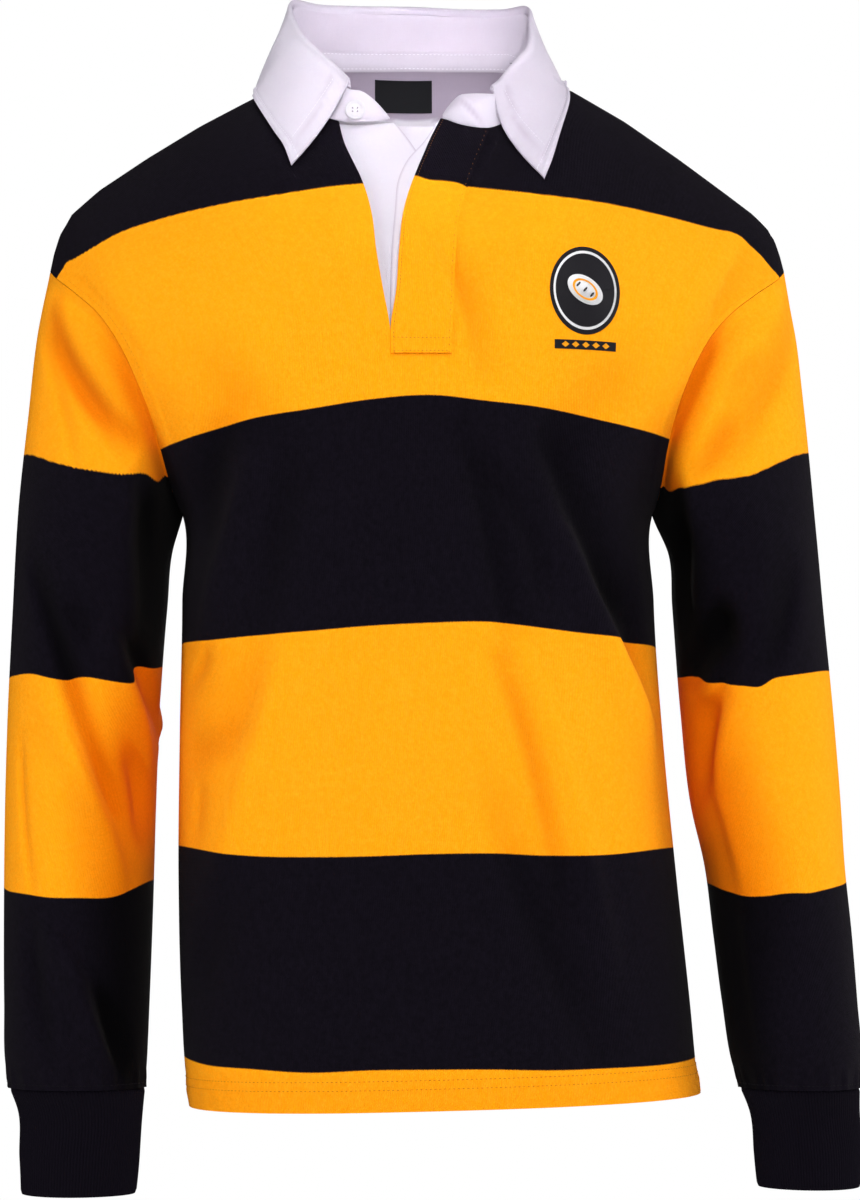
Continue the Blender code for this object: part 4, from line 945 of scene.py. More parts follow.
@dataclass
class Sheet:
    """A lattice of cloth: its outer points, and what is painted or woven on them."""

    outer: Array
    closed: bool = False
    outward: Array | None = None
    hoop: Array | None = None
    # Painted shade at each point, from 0 to 1.
    painted_shade: Array | None = None
    split: int | None = None
    joined_rows: int = 0
    normal: Array = field(init=False)

    def __post_init__(self) -> None:
        """Works out the directions square to the cloth."""
        points = self.outer
        if self.closed:
            ring = np.concatenate([points[:, -1:], points, points[:, :1]], 1)
            across = ring[:, 2:] - ring[:, :-2]
        else:
            across = np.gradient(points, axis=1)
        square = unit(np.cross(across, np.gradient(points, axis=0)))
        if self.split is not None:
            joined = slice(0, self.joined_rows)
            square[joined, self.split - 1] += square[joined, self.split]
            square = unit(square)
            square[joined, self.split] = square[joined, self.split - 1]
        if self.outward is not None:
            square = square * np.sign((square * self.outward).sum(-1).mean())
        self.normal = square

    def lift(self, height: Array) -> None:
        """Moves each point of the cloth along its own direction by a height."""
        self.outer = self.outer + self.normal * height[..., None]
        self.__post_init__()

    def line(self, rows: int | slice, columns: int | slice = slice(None)) -> Line:
        """A line over the cloth, just off it, and its outward directions."""
        square = self.normal[rows, columns]
        return self.outer[rows, columns] + square * THREAD_OFF, square

    def lengths(self) -> Array:
        """Places on the cloth in metres, across and along.

        Returns:
            One pair for each point.
        """
        u = run_of(self.outer.swapaxes(0, 1)).T
        v = run_of(self.outer).mean(1, keepdims=True)
        return np.stack([u - u[:, [u.shape[1] // 2]], v * np.ones_like(u)], -1)

    def wall(self, name: str, thick: float, finish: Finish, flip: bool = False) -> bpy.types.Object:
        """Makes the mesh: outer face, inner face and a rim on every free edge.

        Args:
            name: The piece's name.
            thick: The wall's thickness.
            finish: What it is made of.
            flip: True where the lattice runs the other way round.

        Returns:
            The object.
        """
        rows, columns = self.outer.shape[:2]
        inner = self.outer - self.normal * thick
        flat = np.concatenate([self.outer.reshape(-1, 3), inner.reshape(-1, 3)])
        half = rows * columns
        keyed = np.concatenate([np.round(flat, 6), np.repeat([[0.0], [1.0]], half, 0)], 1)
        _, first, where = np.unique(keyed, axis=0, return_index=True, return_inverse=True)
        where = where.reshape(-1)
        columns_used = np.arange(columns if self.closed else columns - 1)
        if self.split is not None:
            columns_used = columns_used[columns_used != self.split - 1]
        row, column = np.meshgrid(np.arange(rows - 1), columns_used, indexing="ij")
        after = (column + 1) % columns
        quads = np.stack([row * columns + column, row * columns + after,
                          (row + 1) * columns + after, (row + 1) * columns + column], -1).reshape(-1, 4)
        if flip:
            quads = quads[:, ::-1]
        edges = np.concatenate([quads[:, [k, (k + 1) % 4]] for k in range(4)])
        keys = np.sort(where[edges], 1)
        order = keys[:, 0].astype(np.int64) * len(first) + keys[:, 1]
        _, back, count = np.unique(order, return_inverse=True, return_counts=True)
        rim = edges[count[back.reshape(-1)] == 1]
        rim = rim[where[rim[:, 0]] != where[rim[:, 1]]]
        sides = np.stack([rim[:, 1], rim[:, 0], rim[:, 0] + half, rim[:, 1] + half], -1)
        faces = np.concatenate([quads, quads[:, ::-1] + half, sides])
        marks = {key: np.tile(mark.reshape(-1), 2)[first] for key, mark in
                 (("hoop", self.hoop), ("painted_shade", self.painted_shade)) if mark is not None}
        return build(name, flat[first], where[faces], finish,
                     np.tile(self.lengths().reshape(-1, 2), (2, 1))[first], marks)


def close_round(mesh: bpy.types.Mesh, places: Array, wide: float = 0.1, step: float = 0.002) -> Array:
    """Lets a tube's cloth run on over the faces that close it, so that its weave isn't squeezed there.

    Args:
        mesh: The mesh.
        places: Place on the cloth of each face corner.
        wide: A face wider than this closes a tube.
        step: Width that such a face gets.

    Returns:
        The places, mended.
    """
    starts = np.empty(len(mesh.polygons), int)
    mesh.polygons.foreach_get("loop_start", starts)
    corners = np.diff(np.append(starts, len(places)))
    most, least = (np.repeat(pick.reduceat(places[:, 0], starts), corners)
                   for pick in (np.maximum, np.minimum))
    closing = (most - least > wide) & (places[:, 0] < (most + least) / 2)
    return np.stack([np.where(closing, most + step, places[:, 0]), places[:, 1]], -1)


def build(name: str, points: Array, faces: Sequence[Sequence[int]], finish: Finish,
          cloth: Array | None = None, marks: dict[str, Array] | None = None) -> bpy.types.Object:
    """Makes a mesh object with its material, its places on the cloth and its marks.

    Args:
        name: The piece's name.
        points: Vertices.
        faces: Vertex numbers of each face.
        finish: What it is made of.
        cloth: Places on the cloth in metres, one pair for each vertex.
        marks: Numbers for each vertex: its place among the hoops' borders, or its painted shade.

    Returns:
        The object.
    """
    mesh = bpy.data.meshes.new(name)
    mesh.from_pydata(points.tolist(), [], [list(map(int, face)) for face in faces])
    mesh.validate()
    mesh.shade_smooth()
    mesh.set_sharp_from_angle(angle=math.radians(55))
    loops = np.empty(len(mesh.loops), int)
    mesh.loops.foreach_get("vertex_index", loops)
    places = points[loops][:, [0, 2]] if cloth is None else close_round(mesh, cloth[loops])
    layer = mesh.uv_layers.new(name="cloth")
    layer.data.foreach_set("uv", np.ascontiguousarray(places, np.float32).ravel())
    for key, mark in (marks or {}).items():
        mesh.attributes.new(key, "FLOAT", "POINT").data.foreach_set("value", mark.astype(np.float32))
    mesh.materials.append(Palette.of(finish))
    thing = bpy.data.objects.new(name, mesh)
    bpy.context.scene.collection.objects.link(thing)
    return thing


def hoop_place(z: Array, borders: Sequence[Array], first: int) -> Array:
    """Where a height lies among the borders of the hoops.

    Args:
        z: Heights.
        borders: Heights of the borders there, from the lowest up.
        first: Number of the lowest border. Amber lies above even numbers.

    Returns:
        A number that passes a whole one at each border.
    """
    place = first + (z - borders[0]) / 0.15
    for number, (low, high) in enumerate(zip(borders, borders[1:]), first):
        place = np.where(z > low, number + (z - low) / (high - low), place)
    return np.where(z > borders[-1], first + len(borders) - 1 + (z - borders[-1]) / 0.30, place)


def dress(thing: bpy.types.Object, node: str, replaces: bool = True) -> bpy.types.Object:
    """Lets a piece ride with the shirt, in its node's place.

    Args:
        thing: The piece.
        node: The solid that it belongs to.
        replaces: True where it stands for the node.

    Returns:
        The same piece.
    """
    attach(thing, "root")
    if replaces:
        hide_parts(node)
    log.info("%s: %d faces", thing.name, len(thing.data.polygons))
    return thing


# ---------- sewing

def seam_line(points: Array, square: Array, at: Array, stop: float) -> Line:
    """A line over the cloth where each row of points passes one place.

    Args:
        points: Rows of points.
        square: Their outward directions.
        at: Rising place of each point.
        stop: The place.

    Returns:
        The line, just off the cloth, and its outward directions.
    """
    line, up = (np.array([line_at(stop, place, row) for place, row in zip(at, rows)])
                for rows in (points, square))
    up = unit(up)
    return line + up * THREAD_OFF, up


def tube_faces(rings: int, sides: int, base: int = 0, shut: bool = True) -> list[list[int]]:
    """Faces of a tube of rings whose last end is closed.

    Args:
        rings: How many rings it has.
        sides: Vertices of each ring.
        base: Number of its first vertex.
        shut: True where its first end is closed too.

    Returns:
        Vertex numbers of each face.
    """
    loops = [[base + ring * sides + k for k in range(sides)] for ring in range(rings)]
    faces = [[low[k], low[k + 1 - sides], high[k + 1 - sides], high[k]]
             for low, high in zip(loops, loops[1:]) for k in range(sides)]
    return faces + [loops[-1]] + ([loops[0][::-1]] if shut else [])


@dataclass(frozen=True)
class Sewing:
    """A run of machine stitches along a line on the cloth."""

    length: float = 0.0026
    gap: float = 0.0007
    radius: float = 0.00028

    def run(self, line: Array, up: Array) -> tuple[Array, list[list[int]]]:
        """Makes the stitches of one line.

        Args:
            line: Points along it.
            up: Outward direction at each point.

        Returns:
            Vertices and faces.
        """
        run = run_of(line)
        count = max(1, int(run[-1] / (self.length + self.gap)))
        pitch = run[-1] / count
        stations = (np.arange(count)[:, None] * pitch
                    + np.array([0.0, 0.25, 0.5, 0.75, 1.0])[None, :] * (pitch - self.gap))
        centre, out = line_at(stations, run, line), unit(line_at(stations, run, up))
        ahead = unit(np.gradient(centre, axis=1))
        side = unit(np.cross(out, ahead))
        swell = np.array([0.35, 0.9, 1.0, 0.9, 0.35])
        sink = np.array([-0.8, 0.05, 0.3, 0.05, -0.8]) * self.radius
        centre = centre + out * sink[None, :, None]
        turn = np.arange(5) * math.tau / 5
        ring = (side[:, :, None] * np.cos(turn)[:, None] + out[:, :, None] * np.sin(turn)[:, None] * 0.8)
        points = centre[:, :, None] + ring * (swell * self.radius)[None, :, None, None]
        faces = [face for stitch in range(count) for face in tube_faces(5, 5, stitch * 25)]
        return points.reshape(-1, 3), faces

    def sew(self, name: str, lines: Sequence[Line], finish: Finish, node: str, slot: str) -> None:
        """Makes one piece of several runs of stitches.

        Args:
            name: The piece's name.
            lines: Pairs of a line and its outward directions.
            finish: The thread.
            node: The solid that they are sewn into.
            slot: Not used.
        """
        points, faces, start = [], [], 0
        for line, up in lines:
            some, those = self.run(line, up)
            points.append(some)
            faces += [[start + k for k in face] for face in those]
            start += len(some)
        dress(build(name, np.concatenate(points), faces, finish), node, replaces=False)


# ---------- body

@dataclass
class BodyPanels:
    """Front and back of the body."""

    form: ShirtForm = FORM
    low_rows: int = 128
    high_rows: int = 100
    shoulder_columns: int = 8
    neck_columns: dict[str, int] = field(default_factory=lambda: {"right": 6, "back": 6, "left": 7})
    shoulder_close: float = 1.35
    fineness: int = 6
    thick: float = 0.0011
    slit_row_share: float = 4.0 / 13.0
    top_close: float = 1.4
    hem_deep: float = 0.0210
    hem_rows_apart: float = 0.006
    pucker_pitch: float = 0.011
    fell: float = 0.0065
    hem_stitch: Sewing = Sewing(0.0018, 0.0014, 0.0002)
    top_stitch: Sewing = Sewing(0.0018, 0.0014, 0.00016)
    top_stitched: tuple[float, float] = (-0.262, -0.168)
    front: Sheet = field(init=False)
    back: Sheet = field(init=False)

    def shoulder(self, hand: Hand) -> Array:
        """Points (x, z) of the shoulder seam from its tip to the neck."""
        tip = self.form.armhole(np.array(1.0), hand)
        x = np.linspace(tip[0], hand.value * NECK_HALF, 600)
        z = self.form.ridge(x)
        z[0], z[-1] = tip[1], 0.0
        line = np.stack([x, z], -1)
        run = run_of(line)
        share = steps(self.shoulder_columns * self.fineness + 1)
        return line_at(run[-1] * share ** self.shoulder_close, run, line)

    def half(self, hand: Hand, turns: Array, low_middle: Array, middle: Array, shares: Array) -> Array:
        """Lattice of (x, z) from a side seam to the panel's middle.

        Args:
            hand: The wearer's side.
            turns: Turns round the neck of the columns past the shoulder.
            low_middle: x of the middle for each low row.
            middle: Points (x, z) of the middle for each high row.
            shares: Shares of the way up for the high rows.

        Returns:
            Rows of points.
        """
        top = np.concatenate([self.shoulder(hand), self.form.neck(turns)[1:]])
        along = steps(len(top))
        spread = 1.0 - np.sin((1.0 - along) * math.pi / 2)
        level0 = self.form.hem_height(np.array(0.0))
        share = steps(self.low_rows + 1)
        level = level0 + (self.form.underarm - level0) * share
        side = self.form.side(level, hand)
        x = side[:, None] + (low_middle - side)[:, None] * spread[None]
        z = level[:, None] + (self.form.hem_height(x) - level0) * (1.0 - share)[:, None]
        low = np.stack([x, z], -1)
        seam = self.form.armhole(shares, hand)
        s, t = along[None, :, None], shares[:, None, None]
        bottom = low[-1]
        sides = (1 - s) * seam[:, None] + s * middle[:, None]
        ends = (1 - t) * bottom[None] + t * top[None]
        corners = ((1 - s) * (1 - t) * bottom[0] + s * (1 - t) * bottom[-1]
                   + (1 - s) * t * top[0] + s * t * top[-1])
        return np.concatenate([low, (sides + ends - corners)[1:]])

    def shares(self) -> Array:
        """Shares of the way up for the high rows, closer together at the top."""
        return 1.0 - (1.0 - steps(self.high_rows + 1)) ** self.top_close

    def front_plan(self) -> tuple[Array, int, int]:
        """Lattice of (x, z) over the front.

        Returns:
            The lattice, the column after the slit, and the rows where its two sides are one.
        """
        shares = self.shares()
        foot_share = 1.0 - (1.0 - self.slit_row_share) ** self.top_close
        slit_row = int(np.argmin(np.abs(shares - foot_share)))
        foot_share = shares[slit_row]
        underarm, foot, foot_x = self.form.underarm, self.form.slit_foot, PLACKET["fly_edge"][1]
        halves = []
        for hand, column, name in ((Hand.RIGHT, "underlap_edge", "right"), (Hand.LEFT, "fly_edge", "left")):
            turn_in = self.form.neck_turn(PLACKET[column][-1])
            turn_out = 90.0 if hand is Hand.RIGHT else 270.0
            turns = np.linspace(turn_out, turn_in, self.neck_columns[name] * self.fineness + 1)
            top_x, top_z = self.form.neck(turns)[-1]
            below = shares <= foot_share + 1e-9
            z = np.where(below, underarm + (foot - underarm) * shares / foot_share,
                         foot + (top_z - foot) * (shares - foot_share) / (1 - foot_share))
            x = np.where(below, foot_x, PLACKET.read(z, column))
            x[-1] = top_x
            low = self.form.middle + (foot_x - self.form.middle) * steps(self.low_rows + 1)
            halves.append(self.half(hand, turns, low, np.stack([x, z], -1), shares))
        plan = np.concatenate([halves[0], halves[1][:, ::-1]], 1)
        return plan, halves[0].shape[1], self.low_rows + slit_row + 1

    def back_plan(self) -> Array:
        """Lattice of (x, z) over the back."""
        shares = self.shares()
        count = self.neck_columns["back"] * self.fineness + 1
        top_z = float(self.form.neck(np.array(180.0))[1])
        z = self.form.underarm + (top_z - self.form.underarm) * shares
        middle = np.stack([np.zeros_like(z), z], -1)
        low = self.form.middle * (1.0 - steps(self.low_rows + 1))
        right = self.half(Hand.RIGHT, np.linspace(90.0, 180.0, count), low, middle, shares)
        left = self.half(Hand.LEFT, np.linspace(270.0, 180.0, count), low, middle, shares)
        return np.concatenate([right, left[:, ::-1][:, 1:]], 1)

    def relief(self, x: Array, z: Array, face: Face) -> Array:
        """Folds, seams and hem of a panel, as heights.

        Args:
            x: Across.
            z: Height.
            face: Front or back.

        Returns:
            Height outward.
        """
        height = self.form.folds(x, z, face)
        inland = self.form.inland(x, z)
        felled = 1.0 - ease((inland - self.fell) / 0.0030)
        height += 0.0008 * felled * ease((z - self.form.underarm) / 0.004)
        over_hem = z - self.form.hem_height(x)
        fold_up = 1.0 - ease((over_hem - self.hem_deep) / 0.0025)
        height += 0.0009 * fold_up
        wave = 0.5 + 0.5 * np.sin(x * math.tau / self.pucker_pitch + 3.0 * np.sin(x * 37.0))
        for row in (self.hem_deep, self.hem_deep - self.hem_rows_apart):
            height -= (0.0006 + 0.0004 * wave) * bump_at(over_hem - row, 0.0016)
        height += 0.0004 * wave * bump_at(over_hem - self.hem_deep * 0.4, 0.006)
        return height

    def sheet(self, plan: Array, face: Face, split: int | None = None, joined: int = 0) -> Sheet:
        """Puts a lattice of (x, z) on the form, with its folds and hoops.

        Args:
            plan: Lattice of (x, z).
            face: Front or back.
            split: The column after the slit.
            joined: Rows where the slit's two sides are one.

        Returns:
            The sheet.
        """
        x, z = plan[..., 0], plan[..., 1]
        columns = x.shape[1]
        shoulder = self.shoulder_columns * self.fineness + 1
        outer = np.stack([x, self.form.depth(x, z, face), z], -1)
        outer[: self.low_rows + 1, [0, -1], 1] = 0.0
        outer[-1, :shoulder, 1] = 0.0
        outer[-1, columns - shoulder:, 1] = 0.0
        outer = outer + self.form.normal(x, z, face) * self.relief(x, z, face)[..., None]
        if split is not None:
            outer[:joined, split] = outer[:joined, split - 1]
        hoops = FRONT_HOOPS if face is Face.FRONT else BACK_HOOPS
        yoke = FRONT_YOKE if face is Face.FRONT else BACK_YOKE
        borders = [hoops.read(x, k) for k in ("hem", "low", "middle", "high")]
        borders.append(yoke.read(x, "z"))
        toward = np.array([0.0, float(face.value), 0.0])
        # The hoops are the knit's own colour; the second mark is painted shade from the form.
        sheet = Sheet(outer, outward=toward, hoop=hoop_place(z, borders, 1),
                      painted_shade=self.form.painted_shade(x, z, face), split=split, joined_rows=joined)
        square, low = sheet.normal, slice(0, self.low_rows + 1)
        for side, span in ((0, slice(0, shoulder)), (-1, slice(columns - shoulder, columns))):
            square[low, side] = unit(square[low, side] * (1, 0.2, 1))
            square[-1, span, 1] *= 0.1
        sheet.normal = unit(square)
        return sheet

    def build(self) -> None:
        """Makes both panels."""
        plan, split, joined = self.front_plan()
        self.front = self.sheet(plan, Face.FRONT, split, joined)
        self.back = self.sheet(self.back_plan(), Face.BACK)
        front = self.front.wall("front_cloth", self.thick, JERSEY)
        back = self.back.wall("back_cloth", self.thick, JERSEY, flip=True)
        dress(front, "front_panel")
        dress(back, "back_panel")

    def border(self, hand: Hand) -> tuple[Array, Array, Array, Array]:
        """The armhole's edges that a sleeve is sewn to.

        Args:
            hand: The wearer's side.

        Returns:
            Points of the front and the back edge from the underarm up, and their directions.
        """
        column = 0 if hand is Hand.RIGHT else -1
        rows = slice(self.low_rows, None)
        return (self.front.outer[rows, column], self.back.outer[rows, column],
                self.front.normal[rows, column], self.back.normal[rows, column])

    def sew_hem(self) -> None:
        """Two rows of stitches round the hem, front and back."""
        for name, sheet in (("front", self.front), ("back", self.back)):
            rows, square = sheet.outer[:36].swapaxes(0, 1), sheet.normal[:36].swapaxes(0, 1)
            above = rows[..., 2] - self.form.hem_height(rows[..., 0])
            lines = [seam_line(rows, square, above, row)
                     for row in (self.hem_deep, self.hem_deep - self.hem_rows_apart)]
            self.hem_stitch.sew(name + "_hem_stitches", lines, HEM_THREAD, name + "_panel", "jersey")

    def sew_armholes(self) -> None:
        """A row of topstitching on the body side of each armhole, along its amber hoop."""
        for name, sheet in (("front", self.front), ("back", self.back)):
            z = sheet.outer[:, 0, 2]
            amber = (z > self.top_stitched[0]) & (z < self.top_stitched[1])
            lines = []
            for columns in (slice(0, 40), slice(-1, -41, -1)):
                rows, square = sheet.outer[amber, columns], sheet.normal[amber, columns]
                inland = self.form.inland(rows[..., 0], rows[..., 2])
                lines.append(seam_line(rows, square, inland, self.fell - 0.0010))
            self.top_stitch.sew(name + "_armhole_stitches", lines, AMBER_THREAD, name + "_panel", "jersey")


# ---------- sleeves

@dataclass
class Sleeve:
    """A sleeve from the armhole to the cuff seam."""

    hand: Hand
    border: tuple[Array, Array, Array, Array]
    rows: int = 190
    columns: int = 128
    cuff_seam: float = -0.750
    seam_fade: float = 0.38
    top_close: float = 0.92
    radius: float = 0.06
    hidden_turn: float = 372.0
    seam_blend: float = 30.0
    pucker: float = 0.0007
    stitch_up: float = 0.0035
    seam_sunk: float = 0.0030
    trough: float = 0.010
    thick: float = 0.0011
    sheet: Sheet = field(init=False)

    @staticmethod
    def tube(sizes: Table, hand: Hand, angle: Array, z: Array) -> Array:
        """Point of an oval tube.

        Args:
            sizes: Its sizes by height.
            hand: The wearer's side.
            angle: Turn round it, 0 outside and a quarter in front.
            z: Height.

        Returns:
            Points.
        """
        outer, inner, deep, forward = (sizes.read(z, k) for k in ("outer", "inner", "deep", "forward"))
        middle, half = (outer + inner) / 2, (outer - inner) / 2
        x = hand.value * (middle + half * np.cos(angle))
        return np.stack([x, -forward - deep * np.sin(angle), z], -1)

    def ring(self) -> tuple[Array, Array, Array]:
        """The top ring at even steps, the panels' directions there, and the turn of each column.

        Returns:
            Points, directions and turns.
        """
        front, back, front_square, back_square = self.border
        ring = np.concatenate([front[::-1], back[1:-1], front[-1:]])
        square = np.concatenate([front_square[::-1], back_square[1:-1], front_square[-1:]])
        ring[[0, len(front) - 1, -1], 1] = 0.0
        run = run_of(ring)
        knee = run[len(front) - 1]
        count = self.columns // 2
        stops = np.concatenate([np.linspace(0.0, knee, count + 1)[:-1],
                                np.linspace(knee, run[-1], self.columns - count + 1)[:-1]])
        angle = math.pi * np.where(stops <= knee, stops / knee, 1 + (stops - knee) / (run[-1] - knee))
        return line_at(stops, run, ring), unit(line_at(stops, run, square)), angle

    def build(self) -> None:
        """Makes the sleeve."""
        ring, panel_square, angle = self.ring()
        sizes = SLEEVE_SIZES[self.hand]
        shares = steps(self.rows + 1) ** self.top_close
        z = ring[None, :, 2] + (self.cuff_seam - ring[None, :, 2]) * shares[:, None]
        form = self.tube(sizes, self.hand, angle[None, :], z)
        off = ring - self.tube(sizes, self.hand, angle, ring[:, 2])
        fade = 1.0 - ease(shares / self.seam_fade)
        outer = form + off[None] * fade[:, None, None]
        folds = self.fold_height(angle, z)
        from_seam = run_of(outer)
        # Painted shade over the sleeve.
        painted_shade = self.painted_shade(folds, from_seam, angle, z)
        front = ease((np.sin(angle) - 0.05) / 0.4)[None]
        lift = folds * ease(shares / 0.12)[:, None] * ease((1.0 - shares) / 0.08)[:, None]
        lift -= self.seam_sunk * front * np.sqrt(from_seam / 0.004) * bump_at(from_seam, 0.012)
        above = z - self.cuff_seam
        gathers = np.sin(angle * 23 + 2.0 * np.sin(angle * 3)) + 0.6 * np.sin(angle * 37 + 1.0)
        lift += self.pucker * gathers[None] * bump_at(above - 0.006, 0.008)
        lift -= 0.0006 * bump_at(above - self.stitch_up, 0.0018) - 0.0008 * (1.0 - ease(above / 0.009))
        across = unit(outer - outer.mean(1, keepdims=True))
        outer = outer + across * lift[..., None]
        outer[0] = ring + unit(outer[1] - ring) * 0.0005
        hoops = SLEEVE_HOOPS[self.hand]
        degrees = np.degrees(angle)
        borders = [np.broadcast_to(hoops.read(degrees, k), z.shape)
                   for k in ("low", "middle", "high")]
        self.sheet = Sheet(outer, closed=True, outward=across, hoop=hoop_place(z, borders, 2), painted_shade=painted_shade)
        square = self.sheet.normal
        same = ease(((square[0] * panel_square).sum(-1) + 0.2) / 0.8)[:, None]
        square[0] = unit(square[0] * (1 - same) + panel_square * same)
        name = self.hand.name.lower()
        thing = self.sheet.wall("sleeve_cloth_" + name, self.thick, JERSEY, flip=self.hand is Hand.LEFT)
        dress(thing, "sleeve_" + name)

    def sew(self) -> None:
        """One row of stitches round the sleeve over the cuff seam."""
        around = [*range(self.sheet.outer.shape[1]), 0]
        rows, square = (part[::-1, around].swapaxes(0, 1) for part in (self.sheet.outer, self.sheet.normal))
        line = seam_line(rows, square, rows[..., 2] - self.cuff_seam, self.stitch_up)
        name = self.hand.name.lower()
        Sewing().sew("cuff_seam_stitches_" + name, [line], BLACK_THREAD, "sleeve_" + name, "jersey")

    def painted_shade(self, folds: Array, from_seam: Array, angle: Array, z: Array) -> Array:
        """Painted shade, from 0 to 1, in a fold, under the armhole seam and beside the body.

        Args:
            folds: Height of the folds.
            from_seam: Distance down from the armhole seam.
            angle: Turn of each column.
            z: Height.

        Returns:
            The share.
        """
        degrees = 180.0 - np.abs(180.0 - np.degrees(angle))[None]
        shade = SLEEVE_SHADE[self.hand]
        start, full = (shade.read(z, k) for k in ("open", "shut"))
        # Painted shade beside the body, in a band under the armhole seam and in the fold troughs.
        beside = 0.85 * ease((degrees - start) / (full - start))
        near = ease((degrees - 35.0) / 60.0)
        band = near * (0.30 + 0.50 * near) * (1.0 - ease((from_seam - 0.008) / 0.046))
        troughs = np.clip(-folds / self.trough, 0.0, 0.8)
        return np.clip(1.0 - (1.0 - beside) * (1.0 - band) + troughs, 0.0, 1.0)

    def fold_height(self, angle: Array, z: Array) -> Array:
        """Height of the sleeve's folds, joined up where a full turn ends.

        Args:
            angle: Turn of each column.
            z: Height.

        Returns:
            Height outward.
        """
        arc = math.radians(1.0) * self.radius
        turns = np.broadcast_to(angle * self.radius, z.shape)
        seen, hidden = Table(), Table()
        for key, value in SLEEVE_FOLDS[self.hand].items():
            seen[key] = value * arc if key[0] == "a" else value
            hidden[key] = (self.hidden_turn - value) * arc if key[0] == "a" else value
        hidden["high"] = -0.8 * hidden["high"]
        high = Folds(seen).height(turns, z) + Folds(hidden).height(turns, z)
        step, reach = high[:, -1:] - high[:, :1], self.seam_blend * arc
        return high + 0.5 * step * (ease((360.0 * arc - turns) / reach) - ease(turns / reach))


@dataclass
class Cuff:
    """A ribbed cuff."""

    hand: Hand
    ribs: int = 120
    points_per_rib: int = 6
    rows: int = 26
    rib_deep: float = 0.0006
    thick: float = 0.0020

    def build(self) -> None:
        """Makes the cuff with its ribs."""
        sizes = CUFF_SIZES[self.hand]
        count = self.ribs * self.points_per_rib
        angle = np.arange(count) * math.tau / count
        share = steps(self.rows)
        z = (sizes["z"][-1] - 0.0005) + (sizes["z"][0] - sizes["z"][-1] + 0.0005) * share
        outer = Sleeve.tube(sizes, self.hand, angle[None, :], z[:, None] * np.ones(count))
        across = np.stack([self.hand.value * np.cos(angle), -np.sin(angle), np.zeros(count)], -1)[None]
        rib = np.abs(np.sin(angle * self.ribs / 2)) ** 0.6 - 1.0
        sway = 0.0006 * np.sin(angle * 3 + 1.0)[None] * np.sin(share * 5.0)[:, None]
        end = np.minimum(share, 1 - share)[:, None] / 0.035
        outer = outer + across * (rib[None] * self.rib_deep + sway + (ease(end) - 1.0) * 0.0008)[..., None]
        sheet = Sheet(outer, closed=True, outward=across * np.ones_like(outer))
        sheet.normal = across * np.ones_like(outer)
        name = self.hand.name.lower()
        thing = sheet.wall("cuff_rib_" + name, self.thick, RIB, flip=self.hand is Hand.RIGHT)
        dress(thing, "cuff_" + name)


# ---------- collar

